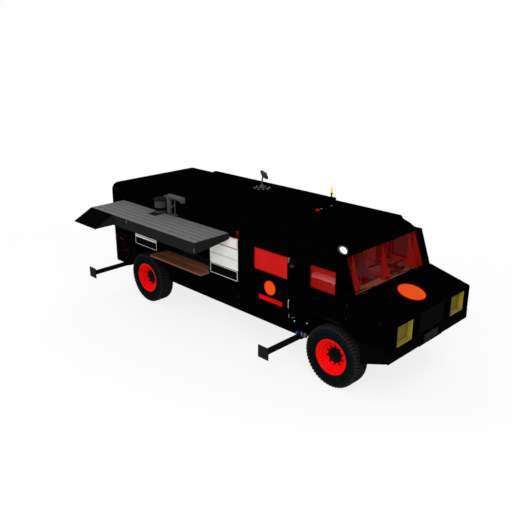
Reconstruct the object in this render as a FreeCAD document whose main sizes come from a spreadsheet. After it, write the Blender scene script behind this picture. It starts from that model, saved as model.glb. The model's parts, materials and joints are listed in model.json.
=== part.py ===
"""Food truck on a two-axle chassis, as a parametric FreeCAD assembly (millimetres).

The truck is drawn in its own datum: X forward from the rear axle, Y left from the
centre line, Z up from the floor.  Every sub-part is then placed so that the model's
origin is on the floor, in the middle of the box around the whole truck.
"""
import FreeCAD, Part
import math
import os
import re
import Sketcher

doc = FreeCAD.newDocument("food_truck")
sheet = doc.addObject("Spreadsheet::Sheet", "dims")

# Driving dimensions: alias, value in mm or a formula of the ones above it.
SIZES = [
    # the whole truck
    ("wheelbase", 5254),
    ("half_width", 1252),
    ("rear_overhang", 1160),
    ("nose_length", 1148),        # front axle to the face of the nose
    ("roof_top", 2550),
    # panels
    ("wall", 45),
    ("skin", 22),                 # hood, bumper and awning sheets
    ("door_gap", 6),
    ("roof_joint", 2325),         # where the roof shell meets the walls
    ("roof_roll", 165),           # radius of the roof's side edges
    ("joint_gap", 2),
    ("knee_top", 1140),           # the side leans inwards from here
    ("knee_bottom", 790),
    ("skirt_inset", 167),
    ("skirt_bottom", 620),
    ("rear_bottom", 700),         # foot of the upright sides behind the rear wheels
    ("sill_top", 885),
    ("sill_bottom", 850),
    # floor
    ("floor_top", 945),
    ("cab_floor_top", 1245),
    ("cab_step", 754),            # front axle back to the step up into the cab
    ("firewall_ahead", 291),
    ("rear_floor_half", "=half_width - 212"),
    # side door and its window
    ("side_door_ahead", 974),     # front axle back to the door's front edge
    ("side_door_width", 1280),
    ("side_window_low", 1693),
    ("side_window_high", 2127),
    ("side_window_width", 842),
    ("window_frame", 36),
    # cab doors
    ("cab_door_ahead", 554),      # front axle back to the door's rear edge
    ("cab_door_bottom", 1330),
    ("cab_window_low", 1710),
    ("cab_window_high", 2133),
    ("cab_window_ahead", 90),     # front axle forward to the window's front edge
    # windscreen and cab roof
    ("screen_base_ahead", 310),
    ("screen_base_height", 1714),
    ("screen_head_ahead", 76),
    ("screen_head_height", 2360),
    ("screen_half", "=half_width - 197"),
    ("screen_frame", 37),
    ("roll_start_behind", 329),
    ("roll_end_ahead", 98),
    ("roll_end_height", 2372),
    ("roof_lip", 2342),           # top of the flat lip under the rolled front
    # nose
    ("hood_front_height", 1504),
    ("nose_low_front", 863),
    ("nose_low_rear", 677),
    ("fascia_depth", 57),
    ("bumper_top", 1075),
    ("lamp_inner", 600),
    ("lamp_outer", "=half_width - 192"),
    ("lamp_low", 1085),
    ("lamp_high", 1462),
    ("lamp_depth", 110),
    ("grille_half", 380),
    ("grille_low", 1105),
    ("grille_high", 1458),
    # wheels, axles and steering
    ("tyre_radius", 560),
    ("tyre_width", 320),
    ("bead_radius", 290),
    ("flange_radius", 323),
    ("hub_radius", 140),
    ("spindle_radius", 35),
    ("running_gap", 0.05),
    ("kingpin_inset", 392),       # outer face of the tyre to the kingpin axis
    ("kingpin_radius", 22),
    ("arch_half", 605),
    ("arch_top", 1287),
    ("box_sheet", 20),            # wheel boxes
    ("box_rise_half", 240),
    # springs, axles and knuckles
    ("spring_half", 520),         # axle to the end of a leaf pack
    ("shackle_out", 490),
    ("shackle_half", 30),
    ("spring_bottom", 600),
    ("spring_top", 648),
    ("spring_seat_half", 60),
    ("axle_beam_half", 55),
    ("eye_near", 95),             # kingpin eyes, from the hub's height
    ("eye_far", 130),
    ("eye_half", 45),
    ("axle_tube_radius", 65),
    ("brake_radius", 190),
    ("brake_width", 80),
    ("brake_inset", 260),         # middle of the tyre to the middle of the brake
    ("shaft_radius", 32),
    ("shaft_drop", 8),            # rails' underside down to the shaft
    ("barrel_radius", 55),
    ("barrel_half", 90),
    ("spindle_end", 40),          # short of the middle of the tyre
    ("steering_arm", 190),
    # chassis
    ("rail_inner", 400),
    ("rail_outer", 470),
    ("rail_bottom", 720),
    ("rail_top", 900),
    ("rail_ahead", 1000),
    ("engine_rear_ahead", 300),
    ("engine_length", 600),
    ("engine_half", 330),
    ("engine_bottom", 670),
    ("engine_top", 1350),
    ("member_half", 40),
    ("member_inset", 30),
    ("bumper_half", "=half_width - 272"),
    ("bumper_tall", 110),
    ("bumper_thick", 50),
    ("tow_bore_radius", 16),
    ("tow_plate", 30),
    ("tow_half", 70),
    ("tow_drop", 15),
    ("tow_bore_behind", 1128),
    ("bearer_half", 50),
    # stabiliser beams
    ("leg_reach", "=half_width + 798"),
    ("leg_height", 625),
    ("leg_beam", 80),
    ("leg_tube", 98),
    ("leg_clear", 5),
    ("leg_overlap", 120),
    ("leg_tube_half", "=half_width - 132"),
    ("rear_leg_behind", 950),
    ("front_leg_ahead", 824),
    ("foot_half", 115),
    ("foot_thickness", 16),
    # serving hatch, counter and boards
    ("hatch_rear", 455),
    ("hatch_high", 2105),
    ("counter_top", 1280),
    ("counter_board", 30),
    ("counter_reach", 220),
    ("counter_hinge_gap", 8),
    ("worktop_depth", 236),
    ("board_width", 790),
    ("board_height", 207),
    ("board_pitch", 215),
    ("board_low", 1307),
    ("board_thickness", 10),
    ("board_gap", 10),
    # awning flap
    ("awning_rear_behind", 650),
    ("awning_front_gap", 233),
    ("awning_reach", 864),
    ("awning_wall_gap", 16),
    ("awning_top", 2236),
    ("awning_skirt", 216),
    ("awning_root", 120),
    ("awning_hinge_out", 82.5),
    ("awning_hinge_height", 2081.5),
    ("awning_pin_radius", 10),
    ("awning_lug", 20),           # radius of the hinge lugs
    ("awning_lug_depth", 24),
    ("awning_lug_clear", 5),
    ("awning_arm", 17),           # thickness of the arms on the flap
    ("visor_length", 820),
    ("visor_reach", 427),
    # galley
    ("cabinet_depth", 560),
    ("unit_out", 760),            # left wall's face to the units' fronts
    ("unit_rise", 300),
    ("screen_wall_behind", 60),
    ("screen_wall_thick", 25),
    ("screen_wall_left", 250),
    # roof and wall fittings
    ("flue_ahead", 730),
    ("flue_out", 58),
    ("flue_radius", 120),
    ("flue_base", 2250),
    ("flue_top", 2512),
    ("flue_lid_rim", 22),
    ("flue_lid_height", 30),
    ("stand_off", 53),
    ("neck_ahead", 290),          # flue to the gooseneck's upright pipe
    ("neck_reach", 440),
    ("neck_rise", 390),
    ("neck_pipe", 30),
    ("neck_bend", 46),
    ("neck_mouth", 52),
    ("neck_stay_ahead", 470),
    ("hatch_lid_ahead", 3200),
    ("hatch_lid_length", 520),
    ("hatch_lid_right", 160),
    ("hatch_lid_width", 500),
    ("rail_box_front", 3250),
    ("rail_box_left", "=half_width - 167"),
    ("rail_box_width", 120),
    ("rail_box_height", 65),
    ("beacon_ahead", 110),        # rail box to the beacon
    ("beacon_foot_half", 80),
    ("beacon_stem", 16),
    ("beacon_radius", 23),
    ("beacon_stem_height", 88),
    ("beacon_top", 2835),
    ("dish_ahead", 1620),
    ("dish_left", "=half_width - 472"),
    ("dish_foot_radius", 170),
    ("dish_foot_height", 14),
    ("dish_mast_radius", 24),
    ("dish_mast_height", 190),
    ("dish_radius", 120),
    ("dish_depth", 45),
    # rear door and locker
    ("rear_door_half", 400),
    ("rear_door_low", 960),
    ("rear_door_high", 2150),
    ("locker_rear_behind", 1110),
    ("locker_front_behind", 745),
    ("locker_low", 840),
    ("locker_high", 1290),
    ("locker_corner", 115),
    # cab interior
    ("dash_depth", 230),
    ("dash_half", "=half_width - 122"),
    ("dash_drop", 50),
    ("dash_thick", 45),
    ("seat_behind", 520),         # front axle back to the fronts of the backrests
    ("seat_middle", 560),
    ("seat_half", 230),
    ("seat_length", 430),
    ("seat_low", 260),            # above the cab floor
    ("seat_thick", 90),
    ("back_low", 340),
    ("back_high", 840),
    ("back_thick", 100),
    ("seat_frame_half", 215),
    ("seat_plate", 40),
    ("back_plate", 30),
    ("plinth_half", 180),
    ("steering_ring", 190),
    ("steering_rim", 14),
    ("column_radius", 22),
    ("column_length", 380),
    ("column_way", 28),
]

for row, (alias, size) in enumerate(SIZES, start=1):
    sheet.set(f"A{row}", alias)
    sheet.set(f"B{row}", str(size))
    sheet.setAlias(f"B{row}", alias)
doc.recompute()
ALIASES = {alias for alias, _ in SIZES}

# Places worked out from the driving dimensions.
NOSE_X = "(wheelbase + nose_length)"
REAR_X = "(0 - rear_overhang)"
INNER_HALF = "(half_width - wall)"
SKIRT_HALF = "(half_width - skirt_inset)"
SIDE_DOOR_FRONT = "(wheelbase - side_door_ahead)"
SIDE_DOOR_REAR = "(wheelbase - side_door_ahead - side_door_width)"
CAB_DOOR_REAR = "(wheelbase - cab_door_ahead)"
CAB_DOOR_FRONT = "(wheelbase + firewall_ahead)"
HATCH_FRONT = f"({SIDE_DOOR_REAR} - board_width - 2 * board_gap - window_frame)"
FRONT_BOARDS = f"({SIDE_DOOR_REAR} - board_width - board_gap)"
REAR_BOARDS = "(hatch_rear - board_width)"
AWNING_FRONT = f"({SIDE_DOOR_REAR} - awning_front_gap)"
VISOR_OUT = "(half_width + awning_reach + visor_reach)"
DATUM_X = f"(({NOSE_X} + {REAR_X}) / 2)"
DATUM_Y = f"((leg_reach - {VISOR_OUT}) / 2)"
SCREEN_SLOPE = ("((screen_base_ahead - screen_head_ahead)"
                " / (screen_head_height - screen_base_height))")
HOOD_SLOPE = ("((screen_base_height - hood_front_height)"
              " / (nose_length - screen_base_ahead))")
WHEEL_MID = "(half_width - tyre_width / 2)"
KINGPIN_Y = "(half_width - kingpin_inset)"
ROOF_INNER = "(roof_top - wall)"
BOX_INSIDE = f"({WHEEL_MID} - tyre_width / 2 - 110)"
BOX_HALF = "(arch_half + box_sheet)"
HINGE_Y = "(0 - half_width - awning_hinge_out)"

NORMAL_SIGN = {"XY_Plane": 1, "XZ_Plane": -1, "YZ_Plane": 1}


def bind(text):
    """Give every alias in an expression the sheet's name."""
    return re.sub(r"[a-z_]+", lambda m: f"dims.{m.group()}" if m.group() in ALIASES else m.group(), text)


def value(text):
    """The present value of an expression, in mm."""
    return float(sheet.evalExpression(bind(str(text))))


def place(thing, x="0", y="0", z="0", turn=None):
    """Put a finished sub-part where it belongs, measured from the model's origin."""
    if turn is not None:
        thing.Placement = FreeCAD.Placement(FreeCAD.Vector(), turn)
    thing.setExpression("Placement.Base.x", bind(f"{x} - {DATUM_X}"))
    thing.setExpression("Placement.Base.y", bind(f"{y} - {DATUM_Y}"))
    thing.setExpression("Placement.Base.z", bind(str(z)))


NODES = []


def finished(thing, label):
    """Name a sub-part and keep it for export."""
    thing.Label = label
    NODES.append((label, thing))
    return thing


def piece(label):
    """A PartDesign body standing in the truck's datum, to be gathered with others."""
    thing = doc.addObject("PartDesign::Body", f"{label}_body")
    thing.Label = label
    place(thing)
    return thing


def body(label):
    """A PartDesign body that is one sub-part."""
    return finished(piece(label), label)


def sketch(owner, role, offset="0"):
    """A sketch on one of the body's own planes, moved along the world axis."""
    thing = owner.newObject("Sketcher::SketchObject", f"{owner.Label}_sketch")
    plane = next(f for f in owner.Origin.OriginFeatures if f.Role == role)
    thing.AttachmentSupport = (plane, "")
    thing.MapMode = "FlatFace"
    thing.setExpression("AttachmentOffset.Base.z", bind(f"{NORMAL_SIGN[role]} * ({offset})"))
    return thing


def arc_middle(start, end, radius):
    """A point half way along an arc; a positive radius puts its centre left of the run."""
    run = end - start
    left = FreeCAD.Vector(-run.y, run.x, 0).normalize()
    size = abs(radius)
    sagitta = size - math.sqrt(size * size - run.Length * run.Length / 4)
    return (start + end) / 2 - left * math.copysign(sagitta, radius)


def outline(drawing, points):
    """A closed outline through points given as expressions.

    A third entry is the radius of an arc from that point to the next one.
    """
    corners = [FreeCAD.Vector(value(point[0]), value(point[1]), 0) for point in points]
    first = drawing.GeometryCount
    count = len(points)
    ends = []
    for i, point in enumerate(points):
        start = corners[i]
        end = corners[(i + 1) % count]
        if len(point) == 2:
            drawing.addGeometry(Part.LineSegment(start, end), False)
            ends.append((1, 2))
            continue
        radius = value(point[2])
        drawing.addGeometry(Part.Arc(start, arc_middle(start, end, radius), end), False)
        # an arc is stored anticlockwise, whichever way the outline runs
        ends.append((1, 2) if radius > 0 else (2, 1))
        index = drawing.addConstraint(Sketcher.Constraint("Radius", first + i, abs(radius)))
        drawing.setExpression(f"Constraints[{index}]", bind(f"abs({point[2]})"))
    for i in range(count):
        after = (i + 1) % count
        drawing.addConstraint(Sketcher.Constraint("Coincident", first + i, ends[i][1],
                                                  first + after, ends[after][0]))
    for i, point in enumerate(points):
        corner = (corners[i].x, corners[i].y)
        for kind, text, number in zip(("DistanceX", "DistanceY"), point, corner):
            index = drawing.addConstraint(Sketcher.Constraint(kind, -1, 1, first + i, ends[i][0], number))
            drawing.setExpression(f"Constraints[{index}]", bind(str(text)))


def circle(drawing, u, v, radius):
    """A circle whose centre and radius are expressions."""
    index = drawing.addGeometry(Part.Circle(FreeCAD.Vector(value(u), value(v), 0),
                                            FreeCAD.Vector(0, 0, 1), value(radius)), False)
    for kind, text in (("DistanceX", u), ("DistanceY", v)):
        held = drawing.addConstraint(Sketcher.Constraint(kind, -1, 1, index, 3, value(text)))
        drawing.setExpression(f"Constraints[{held}]", bind(str(text)))
    held = drawing.addConstraint(Sketcher.Constraint("Radius", index, value(radius)))
    drawing.setExpression(f"Constraints[{held}]", bind(str(radius)))


def rectangle(u0, u1, v0, v1):
    """Corner points of a rectangle."""
    return [(u0, v0), (u1, v0), (u1, v1), (u0, v1)]


def mirrored(points):
    """An outline with its other half; it starts and ends on straight runs across the centre."""
    return points + [(f"0 - ({u})", v) for u, v in reversed(points)]


def extrude(owner, kind, role, low, high, draw):
    """Pad or pocket what draw puts in the sketch, from low to high along the plane's world axis."""
    start = high if NORMAL_SIGN[role] < 0 else low
    drawing = sketch(owner, role, start)
    draw(drawing)
    before = owner.Shape.Volume if kind == "Pocket" else 0
    feature = owner.newObject(f"PartDesign::{kind}", f"{owner.Label}_{kind}")
    feature.Profile = drawing
    feature.setExpression("Length", bind(f"({high}) - ({low})"))
    feature.Reversed = kind == "Pocket"
    owner.Tip = feature
    doc.recompute()
    if kind == "Pocket" and owner.Shape.Volume > before - 1:
        raise RuntimeError(f"{owner.Label}: a pocket cut nothing")
    return feature


def outlines(shapes):
    """A drawing step that puts each outline in the sketch."""
    def draw(drawing):
        for points in shapes:
            outline(drawing, points)
    return draw


def pad(owner, role, low, high, *shapes):
    return extrude(owner, "Pad", role, low, high, outlines(shapes))


def pocket(owner, role, low, high, *shapes):
    return extrude(owner, "Pocket", role, low, high, outlines(shapes))


def drill(owner, role, low, high, u, v, radius):
    """A round hole from low to high."""
    return extrude(owner, "Pocket", role, low, high, lambda drawing: circle(drawing, u, v, radius))


def revolve(owner, role, points, axis="H_Axis"):
    """Turn an outline right round one axis of its sketch."""
    drawing = sketch(owner, role)
    outline(drawing, points)
    feature = owner.newObject("PartDesign::Revolution", f"{owner.Label}_turned")
    feature.Profile = drawing
    feature.ReferenceAxis = (drawing, [axis])
    feature.Angle = 360
    owner.Tip = feature
    doc.recompute()
    return feature


def soften(owner, radius, chosen):
    """Fillet the edges of a body that a test picks, by their middle and direction."""
    names = []
    for number, edge in enumerate(owner.Shape.Edges, start=1):
        local = edge.copy()
        local.Placement = owner.Placement.inverse().multiply(local.Placement)
        middle = local.CenterOfMass
        ends = local.Vertexes
        run = ends[-1].Point - ends[0].Point
        if len(ends) > 1 and chosen(middle, run):
            names.append(f"Edge{number}")
    if not names:
        raise RuntimeError(f"{owner.Label}: no edge to round")
    base = owner.Tip
    feature = owner.newObject("PartDesign::Fillet", f"{owner.Label}_round")
    feature.Base = (base, names)
    feature.setExpression("Radius", bind(radius))
    owner.Tip = feature
    doc.recompute()
    return feature


def along_x(run):
    return abs(run.x) > 0.9 * run.Length


def block(x0, x1, y0, y1, z0, z1):
    """A Part::Box between two corners given as expressions."""
    thing = doc.addObject("Part::Box", "block")
    for name, low, high in (("Length", x0, x1), ("Width", y0, y1), ("Height", z0, z1)):
        thing.setExpression(name, bind(f"({high}) - ({low})"))
    for axis, low in (("x", x0), ("y", y0), ("z", z0)):
        thing.setExpression(f"Placement.Base.{axis}", bind(str(low)))
    return thing


UPRIGHT = FreeCAD.Rotation()
TO_LEFT = FreeCAD.Rotation(FreeCAD.Vector(1, 0, 0), -90)
TO_FRONT = FreeCAD.Rotation(FreeCAD.Vector(0, 1, 0), 90)
UPSIDE_DOWN = FreeCAD.Rotation(FreeCAD.Vector(0, 1, 0), 180)


def rod(x, y, z, radius, length, turn=UPRIGHT):
    """A Part::Cylinder from a foot point, upright, pointing left or pointing forward."""
    thing = doc.addObject("Part::Cylinder", "rod")
    thing.Placement = FreeCAD.Placement(FreeCAD.Vector(), turn)
    thing.setExpression("Radius", bind(str(radius)))
    thing.setExpression("Height", bind(str(length)))
    for axis, text in (("x", x), ("y", y), ("z", z)):
        thing.setExpression(f"Placement.Base.{axis}", bind(str(text)))
    return thing


def ball(x, y, z, radius):
    thing = doc.addObject("Part::Sphere", "ball")
    thing.setExpression("Radius", bind(str(radius)))
    for axis, text in (("x", x), ("y", y), ("z", z)):
        thing.setExpression(f"Placement.Base.{axis}", bind(str(text)))
    return thing


def fused(pieces):
    thing = doc.addObject("Part::MultiFuse", "joined")
    thing.Shapes = pieces
    thing.Refine = True
    return thing


def cut(base, tool):
    thing = doc.addObject("Part::Cut", "cut")
    thing.Base = base
    thing.Tool = tool
    thing.Refine = True
    return thing


def gathered(pieces):
    """Like pieces of one node that don't touch."""
    thing = doc.addObject("Part::Compound", "group")
    thing.Links = pieces
    return thing


def node(label, thing):
    """Finish a sub-part made with Part objects; a lone block keeps its own place in a group."""
    if thing.TypeId == "Part::Box":
        thing = gathered([thing])
    place(thing)
    return finished(thing, label)


# ---------------------------------------------------------------- chassis and axles

def leg_stations():
    """Where the four stabiliser beams are: name, side, middle along X."""
    rear = "(0 - rear_leg_behind)"
    front = "(wheelbase - front_leg_ahead)"
    return [("rear_right_leg", -1, rear), ("front_right_leg", -1, front),
            ("rear_left_leg", 1, rear), ("front_left_leg", 1, front)]


def across(side, near, far):
    """The lower and the higher of two distances out from the centre line on one side."""
    return sorted((f"{side} * ({near})", f"{side} * ({far})"), key=value)


def make_chassis():
    parts = []
    rail_end = "(wheelbase + rail_ahead)"
    for side in (-1, 1):
        low, high = across(side, "rail_inner", "rail_outer")
        parts.append(block(f"{REAR_X} + 2 * bumper_thick", rail_end, low, high, "rail_bottom", "rail_top"))
    cross_middles = [f"({REAR_X} + 140)", "(wheelbase * 0.19)", "(wheelbase * 0.57)",
                     "(wheelbase + engine_rear_ahead - 50)", f"({rail_end} - member_half)"]
    for middle in cross_middles:
        parts.append(block(f"{middle} - member_half", f"{middle} + member_half", "0 - rail_inner",
                           "rail_inner", "rail_bottom + member_inset", "rail_top - member_inset"))
    # rear bumper and the drawbar plate with its pin hole
    bumper_front = f"({REAR_X} + bumper_tall)"
    parts.append(block(f"{bumper_front} - bumper_thick", bumper_front, "0 - bumper_half", "bumper_half",
                       "rail_bottom + 10", "rail_bottom + 10 + bumper_tall"))
    plate_low = "(rail_bottom - tow_drop)"
    parts.append(block(f"{REAR_X} + 2", bumper_front, "0 - tow_half", "tow_half",
                       plate_low, f"{plate_low} + tow_plate"))
    bore = rod("0 - tow_bore_behind", "0", f"{plate_low} - tow_plate / 2", "tow_bore_radius",
               "2 * tow_plate")
    node("chassis_frame", cut(fused(parts), bore))


def make_stabiliser_tubes():
    """Cross tubes that the stabiliser beams slide in, with hangers up to the rails."""
    tubes = []
    for middle in sorted({station for _, _, station in leg_stations()}):
        parts = [block(f"{middle} - leg_tube / 2", f"{middle} + leg_tube / 2",
                       "0 - leg_tube_half", "leg_tube_half",
                       "leg_height - leg_tube / 2", "leg_height + leg_tube / 2")]
        for side in (-1, 1):
            low, high = across(side, "rail_inner", "rail_outer")
            parts.append(block(f"{middle} - leg_tube / 2", f"{middle} + leg_tube / 2", low, high,
                               "leg_height", "rail_bottom"))
        way = block(f"{middle} - leg_beam / 2 - leg_clear", f"{middle} + leg_beam / 2 + leg_clear",
                    "0 - leg_tube_half - 1", "leg_tube_half + 1",
                    "leg_height - leg_beam / 2 - leg_clear", "leg_height + leg_beam / 2 + leg_clear")
        tubes.append(cut(fused(parts), way))
    node("stabiliser_tubes", gathered(tubes))


def make_bearers():
    """Short beams on and between the rails that carry the floor."""
    spans = [("0 - rear_floor_half", "0 - rail_outer"), ("0 - rail_inner", "rail_inner"),
             ("rail_outer", "rear_floor_half")]
    bearers = [block(f"{middle} - bearer_half", f"{middle} + bearer_half", low, high,
                     "rail_top - 60", "floor_top - wall")
               for middle in ("0 - 800", "wheelbase * 0.35", "wheelbase * 0.75")
               for low, high in spans]
    node("floor_bearers", gathered(bearers))


def spring_packs(middle):
    """Leaf packs and their hangers on both sides of one axle."""
    parts = []
    for side in (-1, 1):
        low, high = across(side, "rail_inner + 5", "rail_outer - 5")
        parts.append(block(f"{middle} - spring_half", f"{middle} + spring_half", low, high,
                           "spring_bottom", "spring_top"))
        parts.append(block(f"{middle} - spring_seat_half", f"{middle} + spring_seat_half", low, high,
                           "tyre_radius - 20", "spring_bottom + 1"))
        for end in (-1, 1):
            hanger = f"({middle} + {end} * shackle_out)"
            parts.append(block(f"{hanger} - shackle_half", f"{hanger} + shackle_half", low, high,
                               "spring_top - 8", "rail_bottom"))
    return parts


def make_front_axle():
    """Beam axle with forked ends that hold the kingpins."""
    parts = spring_packs("wheelbase")
    parts.append(block("wheelbase - axle_beam_half", "wheelbase + axle_beam_half",
                       f"0 - {KINGPIN_Y} + eye_near", f"{KINGPIN_Y} - eye_near",
                       "tyre_radius - 75", "tyre_radius + 45"))
    rear, front = "wheelbase - eye_half", "wheelbase + eye_half"
    for side in (-1, 1):
        web = f"{KINGPIN_Y} - eye_near - 5"
        inner, outer = across(side, web, f"{KINGPIN_Y} + eye_half")
        for low, high in (("tyre_radius + eye_near", "tyre_radius + eye_far"),
                          ("tyre_radius - eye_far", "tyre_radius - eye_near")):
            parts.append(block(rear, front, inner, outer, low, high))
        low, high = across(side, web, f"{web} + 30")
        parts.append(block(rear, front, low, high, "tyre_radius - eye_far", "tyre_radius + eye_far"))
        parts.append(rod("wheelbase", f"{side} * {KINGPIN_Y}", "tyre_radius - eye_far + 10",
                         "kingpin_radius", "2 * eye_far - 20"))
    node("front_axle", fused(parts))


def make_rear_axle():
    """Axle tube with its spindles, brakes, differential and propeller shaft."""
    parts = spring_packs("0")
    for inset, radius in (("210", "axle_tube_radius"), ("spindle_end", "spindle_radius")):
        parts.append(rod("0", f"{inset} - {WHEEL_MID}", "tyre_radius", radius,
                         f"2 * {WHEEL_MID} - 2 * {inset}", TO_LEFT))
    for side in (-1, 1):
        parts.append(rod("0", f"{side} * ({WHEEL_MID} - brake_inset) - brake_width / 2", "tyre_radius",
                         "brake_radius", "brake_width", TO_LEFT))
    parts.append(ball("0", "0", "tyre_radius", "brake_radius"))
    parts.append(rod("100", "0", "rail_bottom - shaft_drop", "shaft_radius",
                     "wheelbase + engine_rear_ahead - 102", TO_FRONT))
    node("rear_axle", fused(parts))


def make_engine():
    rear = "(wheelbase + engine_rear_ahead)"
    mass = block(rear, f"{rear} + engine_length", "0 - engine_half", "engine_half",
                 "engine_bottom", "engine_top")
    arms = block(f"{rear} + engine_length / 3", f"{rear} + engine_length * 2 / 3",
                 "0 - rail_inner", "rail_inner", "rail_bottom + 60", "rail_bottom + 120")
    node("engine_block", fused([mass, arms]))


def make_knuckle(label, side):
    """Kingpin barrel, spindle and steering arm of one front wheel."""
    parts = [rod("wheelbase", f"{side} * {KINGPIN_Y}", "tyre_radius - barrel_half", "barrel_radius",
                 "2 * barrel_half")]
    foot = KINGPIN_Y if side > 0 else f"(spindle_end - {WHEEL_MID})"
    parts.append(rod("wheelbase", foot, "tyre_radius", "spindle_radius",
                     f"{WHEEL_MID} - spindle_end - {KINGPIN_Y}", TO_LEFT))
    collar = f"({KINGPIN_Y} + 30)" if side > 0 else f"(0 - {KINGPIN_Y} - 70)"
    parts.append(rod("wheelbase", collar, "tyre_radius", "barrel_radius + 5", "40", TO_LEFT))
    arm_low, arm_high = across(side, f"{KINGPIN_Y} - 20", f"{KINGPIN_Y} + 20")
    parts.append(block("wheelbase - steering_arm", "wheelbase - barrel_radius + 15", arm_low, arm_high,
                       "tyre_radius - 60", "tyre_radius - 30"))
    bore = rod("wheelbase", f"{side} * {KINGPIN_Y}", "tyre_radius - eye_far",
               "kingpin_radius + running_gap", "2 * eye_far")
    node(label, cut(fused(parts), bore))


# Wheels: name, side, position along X.
WHEELS = [("rear_right", -1, "0"), ("front_right", -1, "wheelbase"),
          ("rear_left", 1, "0"), ("front_left", 1, "wheelbase")]

OUTWARD_LEFT = FreeCAD.Rotation()
OUTWARD_RIGHT = FreeCAD.Rotation(FreeCAD.Vector(0, 0, 1), 180)


def make_wheel(name, side, middle):
    """Tyre and deep-dished rim turned about the wheel's axis; +Y of the sketch faces outwards."""
    turn = OUTWARD_LEFT if side > 0 else OUTWARD_RIGHT
    half = "tyre_width / 2"
    tyre = body(f"{name}_tyre")
    place(tyre, middle, f"{side} * {WHEEL_MID}", "tyre_radius", turn)
    revolve(tyre, "YZ_Plane", [
        (f"0 - ({half} - 32)", "bead_radius"), (f"0 - ({half} - 32)", "flange_radius + 2"),
        (f"0 - ({half} - 18)", "flange_radius + 22"),
        (f"0 - ({half})", "tyre_radius * 0.72"), (f"0 - ({half} - 2)", "tyre_radius * 0.9"),
        (f"0 - ({half} - 22)", "tyre_radius"),
        (f"{half} - 22", "tyre_radius"), (f"{half} - 2", "tyre_radius * 0.9"),
        (half, "tyre_radius * 0.72"), (f"{half} - 18", "flange_radius + 22"),
        (f"{half} - 32", "flange_radius + 2"), (f"{half} - 32", "bead_radius")])
    rim = body(f"{name}_rim")
    place(rim, middle, f"{side} * {WHEEL_MID}", "tyre_radius", turn)
    bore = "spindle_radius + running_gap"
    # barrel from the inner flange to the outer, then the stepped dish in to the hub
    revolve(rim, "YZ_Plane", [
        (f"0 - ({half} - 8)", "flange_radius"), (f"0 - ({half} - 30)", "flange_radius"),
        (f"0 - ({half} - 32)", "bead_radius"), (f"{half} - 32", "bead_radius"),
        (f"{half} - 30", "flange_radius"), (f"{half} - 8", "flange_radius"),
        (f"{half} - 20", "bead_radius - 12"), (f"{half} - 62", "bead_radius - 22"),
        (f"{half} - 74", "bead_radius - 48"), (f"{half} - 118", "bead_radius - 60"),
        (f"{half} - 132", "hub_radius + 22"), ("18", "hub_radius"),
        ("46", "hub_radius - 12"), ("78", "hub_radius - 70"), ("84", "0"),
        ("0 - 30", "0"), ("0 - 30", bore), ("0 - 66", bore), ("0 - 66", "hub_radius - 40"),
        ("0 - 8", "hub_radius - 20"), ("0 - 2", "bead_radius - 70"), ("0 - 30", "bead_radius - 34"),
        (f"0 - ({half} - 20)", "bead_radius - 12")])


def make_leg(label, side, middle):
    """Square beam that slides in the chassis cross tube, with its foot plate."""
    plate_back = "(leg_reach - foot_thickness)"
    low, high = across(side, "leg_tube_half - leg_overlap", f"{plate_back} + 2")
    parts = [block(f"{middle} - leg_beam / 2", f"{middle} + leg_beam / 2", low, high,
                   "leg_height - leg_beam / 2", "leg_height + leg_beam / 2")]
    low, high = across(side, plate_back, "leg_reach")
    parts.append(block(f"{middle} - foot_half - 5", f"{middle} + foot_half + 5", low, high,
                       "leg_height + 20 - foot_half", "leg_height + 20 + foot_half"))
    node(label, fused(parts))


# ---------------------------------------------------------------- floor and walls

def make_floor():
    floor = body("cabin_floor")
    step = "(wheelbase - cab_step)"
    pad(floor, "XZ_Plane", "0 - rear_floor_half", "rear_floor_half",
        rectangle("wall - rear_overhang + joint_gap", f"{SIDE_DOOR_REAR} + joint_gap + 1",
                  "floor_top - wall", "floor_top"))
    wide = f"({INNER_HALF} - joint_gap * 3)"
    pad(floor, "XZ_Plane", f"0 - {wide}", wide,
        rectangle("wall - rear_overhang + joint_gap", f"0 - {BOX_HALF}", "floor_top - wall", "floor_top"))
    pad(floor, "XZ_Plane", f"0 - {wide}", wide, [
        (f"{SIDE_DOOR_REAR} + joint_gap", "floor_top - wall"), (f"{step} + wall", "floor_top - wall"),
        (f"{step} + wall", "cab_floor_top - wall"), (CAB_DOOR_FRONT, "cab_floor_top - wall"),
        (CAB_DOOR_FRONT, "screen_base_height - 60"),
        (f"{CAB_DOOR_FRONT} - wall", "screen_base_height - 60"),
        (f"{CAB_DOOR_FRONT} - wall", "cab_floor_top"), (step, "cab_floor_top"),
        (step, "floor_top"), (f"{SIDE_DOOR_REAR} + joint_gap", "floor_top")])
    for side in (-1, 1):
        low, high = across(side, f"{BOX_INSIDE} + box_sheet", "rear_floor_half + 5")
        pocket(floor, "XY_Plane", "floor_top - wall - 5", "floor_top + 5",
               rectangle(f"box_sheet - {BOX_HALF}", f"{BOX_HALF} - box_sheet", low, high))


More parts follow.
